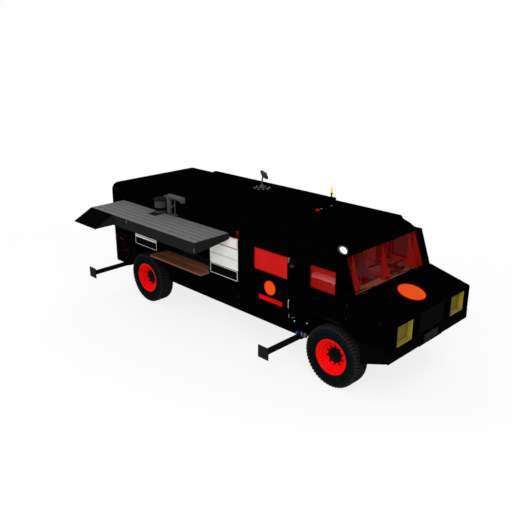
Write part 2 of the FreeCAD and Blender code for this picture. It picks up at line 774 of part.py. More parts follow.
def make_wheel_boxes():
    """Sheet boxes over the rear tyres, with a raised middle that follows the arch."""
    boxes = []
    for side in (-1, 1):
        lid_low, lid_high = across(side, BOX_INSIDE, f"{INNER_HALF} - joint_gap")
        box_low, box_high = across(side, BOX_INSIDE, "rear_floor_half")
        in_low, in_high = across(side, f"{BOX_INSIDE} + box_sheet", f"{INNER_HALF} + 5")
        top = "(counter_top - counter_board - 3)"
        shell = fused([
            block(f"0 - {BOX_HALF}", BOX_HALF, box_low, box_high, "floor_top", top),
            block(f"0 - {BOX_HALF}", f"box_sheet - {BOX_HALF}", lid_low, lid_high, "floor_top", top),
            block(f"0 - {BOX_HALF}", BOX_HALF, lid_low, lid_high, f"{top} - box_sheet", top),
            block("0 - box_rise_half", "box_rise_half", lid_low, lid_high, f"{top} - box_sheet",
                  "arch_top + 5 + box_sheet")])
        hollow = fused([
            block(f"box_sheet - {BOX_HALF}", f"{BOX_HALF} - box_sheet", in_low, in_high,
                  "floor_top - 1", f"{top} - box_sheet"),
            block("box_sheet - box_rise_half", "box_rise_half - box_sheet", in_low, in_high,
                  f"{top} - box_sheet - 1", "arch_top + 5")])
        boxes.append(cut(shell, hollow))
    node("wheel_boxes", gathered(boxes))


def arch_points(middle):
    """Eight-sided wheel arch in side view, open below."""
    return [(f"{middle} - arch_half", "skirt_bottom - 50"), (f"{middle} - arch_half", "arch_top - 202"),
            (f"{middle} - arch_half + 190", "arch_top - 137"), (f"{middle} - 119", "arch_top"),
            (f"{middle} + 101", "arch_top"), (f"{middle} + arch_half - 69", "arch_top - 212"),
            (f"{middle} + arch_half", "arch_top - 247"), (f"{middle} + arch_half", "skirt_bottom - 50")]


def locker_points(inset):
    """Locker opening in side view, its upper front corner cut off; inset on every side."""
    rear = f"{inset} - locker_rear_behind"
    front = f"0 - locker_front_behind - {inset}"
    high = f"locker_high - {inset}"
    return [(rear, f"locker_low + {inset}"), (front, f"locker_low + {inset}"),
            (front, f"{high} - locker_corner"), (f"{front} - locker_corner", high), (rear, high)]


def make_side_wall(label, side):
    """Upright rear panel, then the leaning lower side, then the panel round the side door."""
    wall = body(label)
    s = f"{side} *"
    low, high = across(side, INNER_HALF, "half_width")
    pad(wall, "XZ_Plane", low, high, rectangle(REAR_X, "1 - arch_half", "rear_bottom", "roof_joint"))
    pad(wall, "YZ_Plane", "0 - arch_half", SIDE_DOOR_REAR, [
        (f"{s} half_width", "roof_joint"), (f"{s} half_width", "knee_top"),
        (f"{s} {SKIRT_HALF}", "knee_bottom"), (f"{s} {SKIRT_HALF}", "skirt_bottom"),
        (f"{s} ({SKIRT_HALF} - wall + 5)", "skirt_bottom"),
        (f"{s} ({SKIRT_HALF} - wall + 5)", "knee_bottom + 10"),
        (f"{s} {INNER_HALF}", "knee_top - 3"), (f"{s} {INNER_HALF}", "roof_joint")])
    pad(wall, "YZ_Plane", f"{SIDE_DOOR_REAR} - 1", f"{CAB_DOOR_REAR} + joint_gap", [
        (f"{s} half_width", "roof_joint"), (f"{s} half_width", "sill_bottom"),
        (f"{s} {SKIRT_HALF}", "sill_bottom"), (f"{s} {SKIRT_HALF}", "skirt_bottom"),
        (f"{s} ({SKIRT_HALF} - wall + 5)", "skirt_bottom"), (f"{s} ({SKIRT_HALF} - wall + 5)", "sill_top"),
        (f"{s} {INNER_HALF}", "sill_top"), (f"{s} {INNER_HALF}", "roof_joint")])
    near, far = across(side, "half_width + 10", "rear_floor_half - 10")
    pocket(wall, "XZ_Plane", near, far, arch_points("0"))
    pocket(wall, "XZ_Plane", near, far, arch_points("wheelbase"))
    # the skirt stops short of the steered tyre's sweep
    skirt_near, skirt_far = across(side, f"{SKIRT_HALF} + 5", "rear_floor_half - 10")
    pocket(wall, "XZ_Plane", skirt_near, skirt_far,
           rectangle("wheelbase - 690", "wheelbase - arch_half + 5", "skirt_bottom - 5", "sill_top + 5"))
    # notch for the front stabiliser tube
    middle = "(wheelbase - front_leg_ahead)"
    pocket(wall, "XZ_Plane", near, far,
           rectangle(f"{middle} - leg_tube / 2 - 8", f"{middle} + leg_tube / 2 + 8",
                     "skirt_bottom - 5", "leg_height + leg_tube / 2 + 8"))
    if side < 0:
        pocket(wall, "XZ_Plane", near, far,
               rectangle(SIDE_DOOR_REAR, SIDE_DOOR_FRONT, "sill_top", "roof_joint + 5"))
        pocket(wall, "XZ_Plane", near, far,
               rectangle("hatch_rear", HATCH_FRONT, "counter_top - counter_board", "hatch_high"))
        pocket(wall, "XZ_Plane", near, far, locker_points("0"))
    else:
        front = f"({SIDE_DOOR_FRONT} - window_frame)"
        pocket(wall, "XZ_Plane", near, far,
               rectangle(f"{front} - side_window_width", front, "side_window_low", "side_window_high"))


def make_rear_wall():
    wall = body("rear_wall")
    half = f"({INNER_HALF} - joint_gap)"
    pad(wall, "YZ_Plane", REAR_X, f"{REAR_X} + wall",
        rectangle(f"0 - {half}", half, "knee_bottom - 30", "roof_joint - joint_gap"))
    pocket(wall, "YZ_Plane", f"{REAR_X} - 1", f"{REAR_X} + wall + 1",
           rectangle("0 - rear_door_half", "rear_door_half", "rear_door_low", "rear_door_high"))


def make_roof():
    roof = body("roof_shell")
    low = "(roof_joint + joint_gap)"
    pad(roof, "YZ_Plane", REAR_X, CAB_DOOR_REAR, rectangle("0 - half_width", "half_width", low, "roof_top"))
    top = value("roof_top")
    half = value("half_width")
    soften(roof, "roof_roll", lambda m, run: along_x(run) and m.z > top - 1 and abs(m.y) > half - 1)
    pocket(roof, "YZ_Plane", f"{REAR_X} + wall", f"{CAB_DOOR_REAR} + 1", mirrored([
        (INNER_HALF, f"{low} - 5"), (INNER_HALF, "roof_top - roof_roll + 8"),
        (f"{INNER_HALF} - 36", "roof_top - 78"), (f"{INNER_HALF} - 118", ROOF_INNER)]))
    pocket(roof, "XY_Plane", f"{ROOF_INNER} - 5", "roof_top + 5",
           rectangle("hatch_lid_ahead + 25", "hatch_lid_ahead + hatch_lid_length - 25",
                     "hatch_lid_right + 25", "hatch_lid_right + hatch_lid_width - 25"))


ROLL_START = "(wheelbase - roll_start_behind)"
ROLL_RUN = "(roll_end_ahead + roll_start_behind)"
ROLL_DROP = "(roof_top - roll_end_height)"
ROLL_RADIUS = f"(({ROLL_RUN} * {ROLL_RUN} + {ROLL_DROP} * {ROLL_DROP}) / (2 * {ROLL_DROP}))"

# Sections of the rolled front: share of the run, how far the side is in from the
# full width, width of the rounded corner, and the corner's foot below the roof top.
ROLL_SECTIONS = [(0.00, 0, 300, 165), (0.15, 0, 330, 175), (0.29, 0, 360, 185), (0.41, 0, 372, 196),
                 (0.53, 0, 380, 205), (0.65, 25, 378, 208), (0.76, 62, 360, 208),
                 (0.88, 118, 300, 208), (1.00, 192, 200, 208)]


def roll_section(frame, share, inset, corner, foot):
    """One section across the cab's rolled front, with a rounded corner at each side."""
    along = f"({share} * {ROLL_RUN})"
    drawing = sketch(frame, "YZ_Plane", f"{ROLL_START} - 1 + {along}")
    top = f"(roof_top - {ROLL_RADIUS} + sqrt({ROLL_RADIUS} * {ROLL_RADIUS} - {along} * {along}))"
    side = f"(half_width - {inset})"
    shoulder = f"(roof_top - {foot})"
    rise = f"({top} - {shoulder})"
    radius = f"(({corner} * {corner} + {rise} * {rise}) / (2 * {rise}))"
    low = "(roof_joint + joint_gap)"
    outline(drawing, [(f"0 - {side}", low), (side, low), (side, shoulder, radius),
                      (f"{side} - {corner}", top), (f"{corner} - {side}", top, radius),
                      (f"0 - {side}", shoulder)])
    return drawing


def make_cab_frame():
    """Cab roof with its rolled front and round corners, and the sloping windscreen frame."""
    frame = body("cab_frame")
    low = "(roof_joint + joint_gap)"
    back = f"({CAB_DOOR_REAR} + joint_gap)"
    shoulder = "(roof_top - roof_roll)"
    flat = "(half_width - roof_roll)"
    pad(frame, "YZ_Plane", back, ROLL_START, [
        ("0 - half_width", low), ("half_width", low), ("half_width", shoulder, "roof_roll"),
        (flat, "roof_top"), (f"0 - {flat}", "roof_top", "roof_roll"), ("0 - half_width", shoulder)])
    first, *others = [roll_section(frame, *section) for section in ROLL_SECTIONS]
    roll = frame.newObject("PartDesign::AdditiveLoft", "rolled_front")
    roll.Profile = first
    roll.Sections = others
    roll.Ruled = True
    frame.Tip = roll
    doc.recompute()
    pad(frame, "XY_Plane", low, "roof_lip",
        rectangle(f"{ROLL_START} - 1", f"{ROLL_START} + {ROLL_RUN} - 1", "0 - half_width", "half_width"))
    pocket(frame, "XZ_Plane", f"0 - {INNER_HALF}", INNER_HALF,
           rectangle(f"{back} - 1", f"{ROLL_START} - 20", f"{low} - 5", "roof_top - 110"))
    pocket(frame, "XZ_Plane", "300 - half_width", "half_width - 300", [
        (f"{ROLL_START} - 21", f"{low} - 5"), (f"{ROLL_START} - 21", "roof_top - 110"),
        ("wheelbase - 120", "roof_top - 120"),
        ("wheelbase + 15", "roof_top - 170"), ("wheelbase + 50", f"{low} - 5")])
    slope = SCREEN_SLOPE
    foot = "(screen_base_height - 22)"
    foot_x = f"(wheelbase + screen_base_ahead + 22 * {slope})"
    head = "(screen_head_height - 20)"
    head_x = f"(wheelbase + screen_head_ahead + 20 * {slope})"
    pad(frame, "XZ_Plane", "0 - half_width", "half_width", [
        (foot_x, foot), (head_x, head),
        (f"{head_x} - screen_frame", head), (f"{foot_x} - screen_frame", foot)])
    pocket(frame, "YZ_Plane", "wheelbase - 20", "wheelbase + screen_base_ahead + 60",
           rectangle("0 - screen_half", "screen_half", "screen_base_height + 8", "screen_head_height - 8"))


def make_fender(side):
    """Side of the nose, from the cab door's sill round the wheel arch to the fascia."""
    fender = piece("fender")
    low, high = across(side, "half_width", INNER_HALF)
    front = f"({NOSE_X} - fascia_depth - joint_gap)"
    rear = f"({CAB_DOOR_REAR} + 2 * joint_gap)"
    door_front = f"({CAB_DOOR_FRONT} + door_gap)"
    lid_gap = "(skin + 8)"
    arch = arch_points("wheelbase")
    pad(fender, "XZ_Plane", low, high, [
        (rear, "cab_door_bottom - door_gap"), (door_front, "cab_door_bottom - door_gap"),
        (door_front, f"screen_base_height - {lid_gap}"),
        (front, f"hood_front_height + fascia_depth * {HOOD_SLOPE} - {lid_gap}"),
        (front, "nose_low_front - 12"), ("wheelbase + arch_half", "nose_low_rear"),
        arch[6], arch[5], arch[4], arch[3], arch[2],
        (rear, "arch_top - 185")])
    return fender


def make_fascia():
    fascia = body("front_fascia")
    face = NOSE_X
    back = f"({NOSE_X} - fascia_depth)"
    pad(fascia, "YZ_Plane", back, face,
        rectangle("0 - half_width", "half_width", "nose_low_front", "hood_front_height - skin - 6"))
    lamps = []
    for side in (-1, 1):
        low, high = across(side, "lamp_inner", "lamp_outer")
        lamps.append(rectangle(low, high, "lamp_low", "lamp_high"))
    grille = rectangle("0 - grille_half", "grille_half", "grille_low", "grille_high")
    pocket(fascia, "YZ_Plane", f"{back} - 1", f"{face} + 1", *lamps, grille)
    # the joint line above the bumper
    pocket(fascia, "YZ_Plane", f"{face} - 8", f"{face} + 1",
           rectangle("0 - half_width - 1", "half_width + 1", "bumper_top - 4", "bumper_top + 4"))


def make_lamps():
    trays = []
    for side in (-1, 1):
        low, high = across(side, "lamp_inner + 1", "lamp_outer - 1")
        shell = block(f"{NOSE_X} - lamp_depth", f"{NOSE_X} - 4", low, high,
                      "lamp_low + 1", "lamp_high - 1")
        hollow = block(f"{NOSE_X} - lamp_depth + 14", NOSE_X, f"{low} + 14", f"{high} - 14",
                       "lamp_low + 15", "lamp_high - 15")
        trays.append(cut(shell, hollow))
    node("headlight_trays", gathered(trays))


def make_grille():
    grille = body("grille")
    back = f"({NOSE_X} - 40)"
    half = "(grille_half - 1)"
    pad(grille, "YZ_Plane", back, f"{NOSE_X} - 10",
        rectangle(f"0 - {half}", half, "grille_low + 1", "grille_high - 1"))
    drawing = sketch(grille, "YZ_Plane", f"{back} - 1")
    outline(drawing, rectangle("45 - grille_half", "73 - grille_half",
                               "grille_low + 40", "grille_high - 40"))
    slot = grille.newObject("PartDesign::Pocket", "slot")
    slot.Profile = drawing
    slot.Length = 40
    slot.Reversed = True
    grille.Tip = slot
    doc.recompute()
    row = grille.newObject("PartDesign::LinearPattern", "slots")
    row.Originals = [slot]
    row.Direction = (drawing, ["H_Axis"])
    row.setExpression("Length", bind("2 * grille_half - 118"))
    row.Occurrences = 13
    grille.Tip = row
    doc.recompute()


def make_hood():
    hood = body("hood")
    slope = HOOD_SLOPE
    rear = "(wheelbase + screen_base_ahead + 14)"
    rear_z = f"(screen_base_height - 14 * {slope})"
    pad(hood, "XZ_Plane", "0 - half_width", "half_width", [
        (rear, rear_z), (NOSE_X, "hood_front_height"), (NOSE_X, "hood_front_height - skin"),
        (rear, f"{rear_z} - skin")])


def make_glazing():
    """Windscreen and the fixed window in the left side."""
    parts = []
    slope = SCREEN_SLOPE
    low = "(screen_base_height + 10)"
    high = "(screen_head_height - 10)"
    screen = doc.addObject("Part::Wedge", "screen")
    # a thin leaning slab: the wedge's far face is moved back by the slope
    drop = f"(({high}) - ({low}))"
    for name, text in (("Xmin", "0"), ("Xmax", "2 * screen_half - 4"), ("Ymin", "0"), ("Ymax", drop),
                       ("Zmin", "0"), ("Zmax", "8"), ("X2min", "0"), ("X2max", "2 * screen_half - 4"),
                       ("Z2min", f"{drop} * {slope}"), ("Z2max", f"{drop} * {slope} + 8")):
        screen.setExpression(name, bind(text))
    turn = FreeCAD.Rotation(FreeCAD.Matrix(0, 0, -1, 0, -1, 0, 0, 0, 0, 1, 0, 0, 0, 0, 0, 1))
    screen.Placement = FreeCAD.Placement(FreeCAD.Vector(), turn)
    screen.setExpression("Placement.Base.x", bind(f"wheelbase + screen_base_ahead - 10 * {slope} - 12"))
    screen.setExpression("Placement.Base.y", bind("screen_half - 2"))
    screen.setExpression("Placement.Base.z", bind(low))
    parts.append(screen)
    front = f"({SIDE_DOOR_FRONT} - window_frame)"
    parts.append(block(f"{front} - side_window_width + 2", f"{front} - 2",
                       f"{INNER_HALF} + 18", f"{INNER_HALF} + 26",
                       "side_window_low + 2", "side_window_high - 2"))
    node("glazing", gathered(parts))


def make_door(label, side, points, window, glass_label):
    """A door leaf as thick as the wall, with its window opening and its glass."""
    leaf = body(label)
    low, high = across(side, "half_width", INNER_HALF)
    pad(leaf, "XZ_Plane", low, high, points)
    pocket(leaf, "XZ_Plane", low, high, rectangle(*window))
    x0, x1, z0, z1 = window
    low, high = across(side, f"{INNER_HALF} + 18", f"{INNER_HALF} + 26")
    node(glass_label, block(f"{x0} + 2", f"{x1} - 2", low, high, f"{z0} + 2", f"{z1} - 2"))


def make_doors():
    front = f"({SIDE_DOOR_FRONT} - window_frame)"
    make_door("side_door", -1,
              rectangle(f"{SIDE_DOOR_REAR} + door_gap", f"{SIDE_DOOR_FRONT} - door_gap",
                        "sill_top + door_gap", "roof_joint - door_gap + joint_gap"),
              (f"{front} - side_window_width", front, "side_window_low", "side_window_high"),
              "side_door_glass")
    lean = SCREEN_SLOPE
    rear = f"({CAB_DOOR_REAR} + 2 * door_gap)"
    top = "(roof_joint - door_gap + joint_gap)"

    def front_at(height):
        """Where the door's front edge is at one height, behind the leaning frame."""
        return (f"(wheelbase + screen_base_ahead - screen_frame - door_gap - 4"
                f" - ({height} - screen_base_height) * {lean})")

    shoulder = "(screen_base_height - 30)"
    outline_points = [
        (rear, "cab_door_bottom"), (f"{CAB_DOOR_FRONT} - door_gap", "cab_door_bottom"),
        (f"{CAB_DOOR_FRONT} - door_gap", "screen_base_height - 70"),
        (front_at(shoulder), shoulder), (front_at(top), top), (rear, top)]
    window = (f"{rear} + window_frame", "wheelbase + cab_window_ahead - 40",
              "cab_window_low", "cab_window_high")
    for name, side in (("right", -1), ("left", 1)):
        make_door(f"{name}_cab_door", side, outline_points, window, f"{name}_cab_glass")


def make_rear_door():
    leaf = body("rear_door")
    pad(leaf, "YZ_Plane", REAR_X, f"{REAR_X} + wall",
        rectangle("door_gap - rear_door_half", "rear_door_half - door_gap",
                  "rear_door_low + door_gap", "rear_door_high - door_gap"))


def make_locker_door():
    leaf = body("locker_door")
    low, high = across(-1, INNER_HALF, "half_width")
    pad(leaf, "XZ_Plane", low, high, locker_points("door_gap"))


# ---------------------------------------------------------------- serving side

def awning_hinges():
    """Middles along X of the two hinges of the flap."""
    return [f"({REAR_BOARDS} - 165)", f"({HATCH_FRONT} + 21)"]


def make_awning_brackets():
    """Lugs on the wall whose pins the flap turns on."""
    lugs = []
    half_pin = "(awning_lug_depth / 2 + awning_lug_clear + awning_arm)"
    for middle in awning_hinges():
        lug = f"{middle} - awning_lug_depth / 2"
        lugs.append(fused([
            block(lug, f"{lug} + awning_lug_depth", HINGE_Y, "0 - half_width",
                  "awning_hinge_height - awning_lug", "awning_hinge_height + awning_lug"),
            rod(lug, HINGE_Y, "awning_hinge_height", "awning_lug", "awning_lug_depth", TO_FRONT),
            rod(f"{middle} - {half_pin}", HINGE_Y, "awning_hinge_height", "awning_pin_radius",
                f"2 * {half_pin}", TO_FRONT)]))
    node("awning_brackets", gathered(lugs))


def make_awning():
    """Ribbed flap with its skirts, the notch round the flue and the sloping visor."""
    flap = body("awning")
    rear = "(0 - awning_rear_behind)"
    inner = "(0 - half_width - awning_wall_gap)"
    outer = "(0 - half_width - awning_reach)"
    bottom = "(awning_top - awning_skirt)"
    pad(flap, "YZ_Plane", rear, AWNING_FRONT, [
        (inner, "awning_top"), (outer, "awning_top"), (outer, bottom),
        (f"{outer} + awning_reach * 0.45", f"{bottom} + 38"), (inner, "awning_top - awning_root")])
    pocket(flap, "YZ_Plane", f"{rear} + skin", f"{AWNING_FRONT} - skin", [
        (f"{inner} + 5", "awning_top - skin"), (f"{outer} + skin", "awning_top - skin"),
        (f"{outer} + skin", f"{bottom} - 30"), (f"{inner} + 5", f"{bottom} - 30")])
    pocket(flap, "XY_Plane", "awning_top - skin - 5", "awning_top + 5",
           rectangle("flue_ahead - flue_radius - 14", "flue_ahead + flue_radius + 14",
                     "0 - half_width - flue_out - flue_radius - 14", f"{inner} + 5"))
    pad(flap, "YZ_Plane", rear, f"{rear} + visor_length", [
        (f"{outer} + 1", "awning_top"), (outer, "awning_top"), (f"0 - {VISOR_OUT}", f"{bottom} + 2"),
        (f"0 - {VISOR_OUT}", bottom), (f"{outer} + 1", bottom)])
    pocket(flap, "YZ_Plane", f"{rear} + skin", f"{rear} + visor_length - skin", [
        (f"{outer} - 1", "awning_top - 26"), (f"0 - {VISOR_OUT} + 46", f"{bottom} - 1"),
        (f"{outer} - 1", f"{bottom} - 1")])
    # forked arms down to the hinge pins
    near = "(awning_lug_depth / 2 + awning_lug_clear)"
    chamfer = "awning_lug * 0.7"
    rear_y, front_y = f"({HINGE_Y} - awning_lug)", f"({HINGE_Y} + awning_lug)"
    arm = [(rear_y, "awning_top - skin + 1"), (rear_y, "awning_hinge_height"),
           (f"{HINGE_Y} - {chamfer}", f"awning_hinge_height - {chamfer}"),
           (HINGE_Y, "awning_hinge_height - awning_lug"),
           (f"{HINGE_Y} + {chamfer}", f"awning_hinge_height - {chamfer}"),
           (front_y, "awning_hinge_height"), (front_y, "awning_top - skin + 1")]
    for middle in awning_hinges():
        for side in (-1, 1):
            ends = (f"{middle} + {side} * {near}", f"{middle} + {side} * ({near} + awning_arm)")
            low, high = sorted(ends, key=value)
            pad(flap, "YZ_Plane", low, high, arm)
            drill(flap, "YZ_Plane", low, high, HINGE_Y, "awning_hinge_height",
                  "awning_pin_radius + running_gap")


def make_counter():
    board = body("counter")
    inner = "(0 - half_width - counter_hinge_gap)"
    outer = "(0 - half_width - counter_reach)"
    pad(board, "XY_Plane", "counter_top - counter_board", "counter_top",
        [("hatch_rear + 4", inner), (f"{HATCH_FRONT} - 4", inner), (f"{HATCH_FRONT} - 4", f"{outer} + 30"),
         (f"{HATCH_FRONT} - 26", outer), ("hatch_rear + 26", outer), ("hatch_rear + 4", f"{outer} + 30")])


def make_worktop():
    board = block("hatch_rear + 3", f"{HATCH_FRONT} - 3", "2 - half_width", "worktop_depth - half_width",
                  "counter_top - counter_board", "counter_top")
    node("worktop", board)


def make_galley():
    """Cabinet under the worktop, units along the left wall, and the wall behind the side door."""
    cabinet = block("arch_half + 40", f"{HATCH_FRONT} - 3", "10 - rear_floor_half",
                    "cabinet_depth - half_width", "floor_top", "counter_top - counter_board")
    units = block("arch_half + 60", f"{SIDE_DOOR_REAR} - 200", "half_width - unit_out",
                  "rear_floor_half - 30", "floor_top", "counter_top + unit_rise")
    wall_rear = f"({SIDE_DOOR_REAR} - screen_wall_behind)"
    screen_wall = block(wall_rear, f"{wall_rear} + screen_wall_thick", "0 - rear_floor_half + 60",
                        "screen_wall_left", "floor_top", f"{ROOF_INNER} - 120")
    node("galley_units", gathered([cabinet, units, screen_wall]))


def make_boards():
    boards = []
    face = "(0 - half_width - board_thickness)"
    for start in (REAR_BOARDS, FRONT_BOARDS):
        for row in range(4):
            low = f"(board_low + {row} * board_pitch)"
            boards.append(block(start, f"{start} + board_width - 4", face, "0 - half_width",
                                low, f"{low} + board_height"))
    node("menu_boards", gathered(boards))


def make_stacks():
    """Flue can on the wall and the gooseneck vent beside it."""
    y = "(0 - half_width - flue_out)"
    can = fused([rod("flue_ahead", y, "flue_base", "flue_radius", "flue_top - flue_base"),
                 rod("flue_ahead", y, "flue_top - 2", "flue_radius + flue_lid_rim", "flue_lid_height")])
    behind = block("flue_ahead - 200", "flue_ahead + 200", "0 - half_width", "0 - half_width + 300",
                   "flue_base - 50", "flue_top + 100")
    flue = cut(can, behind)
    y = "(0 - half_width - stand_off)"
    pipe = "(flue_ahead + neck_ahead)"
    mouth = f"({pipe} + neck_reach)"
    top = "(flue_base + neck_rise)"
    neck = [rod(pipe, y, "flue_base + 20", "neck_pipe", "neck_rise - 20"),
            ball(pipe, y, top, "neck_bend"),
            rod(pipe, y, top, "neck_bend", "neck_reach", TO_FRONT),
            ball(mouth, y, top, "neck_mouth"),
            rod(mouth, y, f"{top} - 65", "neck_mouth", "65"),
            block(f"{pipe} - 160", f"{pipe} + 10", f"{y} - 12", f"{y} + 12", f"{top} - 40", f"{top} - 10"),
            rod("flue_ahead + neck_stay_ahead", y, "flue_base + 20", "9", "neck_rise - 30"),
            block(f"{pipe} - 40", "flue_ahead + neck_stay_ahead + 30", f"{y} - 20", "0 - half_width",
                  "flue_base + 5", "flue_base + 25")]
    node("roof_stacks", gathered([flue, fused(neck)]))


# ---------------------------------------------------------------- roof fittings

def make_roof_hatch():
    lid = body("roof_hatch")
    pad(lid, "XY_Plane", "roof_top + 6", "roof_top + 42",
        rectangle("hatch_lid_ahead", "hatch_lid_ahead + hatch_lid_length",
                  "hatch_lid_right", "hatch_lid_right + hatch_lid_width"))
    pocket(lid, "XY_Plane", "roof_top + 5", "roof_top + 30",
           rectangle("hatch_lid_ahead + 12", "hatch_lid_ahead + hatch_lid_length - 12",
                     "hatch_lid_right + 12", "hatch_lid_right + hatch_lid_width - 12"))


def make_roof_fittings():
    """The rail box on the left of the roof, with the dish beside it."""
    rail_box = piece("rail_box")
    pad(rail_box, "YZ_Plane", "0 - 200", "rail_box_front",
        rectangle("rail_box_left - rail_box_width", "rail_box_left",
                  "roof_top", "roof_top + rail_box_height"))
    front = value("rail_box_front")
    top = value("roof_top + rail_box_height")
    soften(rail_box, "25", lambda m, run: m.z > top - 1 and (m.x > front - 1 or along_x(run)))
    plate = doc.addObject("Part::Cone", "plate")
    plate.Radius1 = 40
    plate.setExpression("Radius2", bind("dish_radius"))
    plate.setExpression("Height", bind("dish_depth"))
    plate.Placement = FreeCAD.Placement(FreeCAD.Vector(), FreeCAD.Rotation(FreeCAD.Vector(1, 0.4, 0), 62))
    plate.setExpression("Placement.Base.x", bind("dish_ahead"))
    plate.setExpression("Placement.Base.y", bind("dish_left - 60"))
    plate.setExpression("Placement.Base.z", bind("roof_top + dish_mast_height + 50"))
    dish = fused([rod("dish_ahead", "dish_left", "roof_top", "dish_foot_radius", "dish_foot_height"),
                  rod("dish_ahead", "dish_left", "roof_top", "dish_mast_radius", "dish_mast_height"),
                  block("dish_ahead - 20", "dish_ahead + 20", "dish_left - 80", "dish_left + 10",
                        "roof_top + dish_mast_height - 20", "roof_top + dish_mast_height + 20"),
                  plate])
    place(dish)
    finished(gathered([rail_box, dish]), "roof_fittings")


def make_beacon():
    """Amber beacon on its own pedestal in line with the rail box."""
    x = "(rail_box_front + beacon_ahead)"
    y = "(rail_box_left - rail_box_width / 2)"
    base = "(roof_top + rail_box_height)"
    lamp = f"({base} + beacon_stem_height)"
    node("beacon", fused([
        block(f"{x} - beacon_foot_half", f"{x} + beacon_foot_half", "rail_box_left - rail_box_width",
              "rail_box_left", "roof_top", base),
        rod(x, y, f"{base} - 1", "beacon_stem", "beacon_stem_height + 3"),
        rod(x, y, lamp, "beacon_radius", f"beacon_top - {lamp}")]))


# ---------------------------------------------------------------- cab interior

COLUMN_LEAN = FreeCAD.Rotation(FreeCAD.Vector(0, 1, 0), -38)
RING_MIDDLE = ("wheelbase - 10", "seat_middle", "screen_base_height + 76")


def make_dashboard():
    """Plank across the cab with the way of the steering column through it."""
    front = f"({CAB_DOOR_FRONT} - wall - joint_gap)"
    top = "(screen_base_height - dash_drop)"
    plank = block(f"{front} - dash_depth", front, "0 - dash_half", "dash_half",
                  f"{top} - dash_thick", top)
    column_way = rod(*RING_MIDDLE, "column_way", "column_length + 20", COLUMN_LEAN.multiply(UPSIDE_DOWN))
    node("dashboard", cut(plank, column_way))


def make_seats():
    """Two seats: cushion and backrest, and a frame of plinth, pan and back plate."""
    cushions = []
    frames = []
    floor = "cab_floor_top"
    back = "(wheelbase - seat_behind)"
    front = f"({back} + seat_length)"
    rest_front = f"({back} - 10)"
    rest_rear = f"({rest_front} - back_thick)"
    for side in (-1, 1):
        low, high = across(side, "seat_middle - seat_half", "seat_middle + seat_half")
        cushions.append(block(back, front, low, high, f"{floor} + seat_low",
                              f"{floor} + seat_low + seat_thick"))
        cushions.append(block(rest_rear, rest_front, low, high, f"{floor} + back_low",
                              f"{floor} + back_high"))
        low, high = across(side, "seat_middle - seat_frame_half", "seat_middle + seat_frame_half")
        foot_low, foot_high = across(side, "seat_middle - plinth_half", "seat_middle + plinth_half")
        pan_low = f"({floor} + seat_low - seat_plate)"
        frames.append(fused([
            block(f"{back} + 40", f"{front} - 50", foot_low, foot_high, floor, f"{pan_low} + 2"),
            block(f"{rest_rear} - back_plate", f"{front} - 10", low, high, pan_low,
                  f"{floor} + seat_low"),
            block(f"{rest_rear} - back_plate", rest_rear, low, high, f"{floor} + seat_low - 10",
                  f"{floor} + back_high + 20")]))
    node("seat_cushions", gathered(cushions))
    node("seat_frames", gathered(frames))


def make_steering_wheel():
    """Ring, spokes and column, built upright and then leaned back."""
    ring = doc.addObject("Part::Torus", "ring")
    ring.setExpression("Radius1", bind("steering_ring"))
    ring.setExpression("Radius2", bind("steering_rim"))
    column = rod("0", "0", "0 - column_length", "column_radius", "column_length")
    spokes = block("0 - 20", "20", "0 - steering_ring", "steering_ring", "0 - 6", "6")
    steering = fused([ring, column, spokes])
    place(steering, *RING_MIDDLE, COLUMN_LEAN)
    finished(steering, "steering_wheel")


make_chassis()
make_stabiliser_tubes()
make_bearers()
make_front_axle()
make_rear_axle()
make_engine()
make_knuckle("right_knuckle", -1)
make_knuckle("left_knuckle", 1)
for wheel_name, wheel_side, wheel_x in WHEELS:
    make_wheel(wheel_name, wheel_side, wheel_x)
for leg_name, leg_side, leg_x in leg_stations():
    make_leg(leg_name, leg_side, leg_x)
make_floor()
make_wheel_boxes()
make_side_wall("right_wall", -1)
make_side_wall("left_wall", 1)
make_rear_wall()
make_roof()
make_cab_frame()
finished(gathered([make_fender(-1), make_fender(1)]), "fenders")
make_fascia()
make_lamps()
make_grille()
make_hood()
make_glazing()
make_doors()
make_rear_door()
make_locker_door()
make_awning()
make_awning_brackets()
make_counter()
make_worktop()
make_galley()
make_boards()
make_stacks()
make_roof_hatch()
make_roof_fittings()
make_beacon()
make_dashboard()
make_seats()
make_steering_wheel()

doc.recompute()
for thing in doc.Objects:
    if "Invalid" in thing.State or "Error" in thing.State:
        raise RuntimeError(f"{thing.Label}: {thing.State}")
for name, thing in NODES:
    if thing.Shape.isNull() or not thing.Shape.isValid():
        raise RuntimeError(f"{name}: no valid shape")

os.makedirs("parts", exist_ok=True)
for name, thing in NODES:
    thing.Shape.exportStep(f"parts/{name}.step")
print(f"{len(NODES)} sub-parts written")
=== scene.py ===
"""Looks of the food truck: finishes for its CAD frame, and the trim that is only seen.

Places in this file are in the truck's own datum, in metres: X forward from the rear axle,
Y to the left from the centre line, Z up from the floor.  Each piece is moved to the CAD
frame when it is finished.
"""

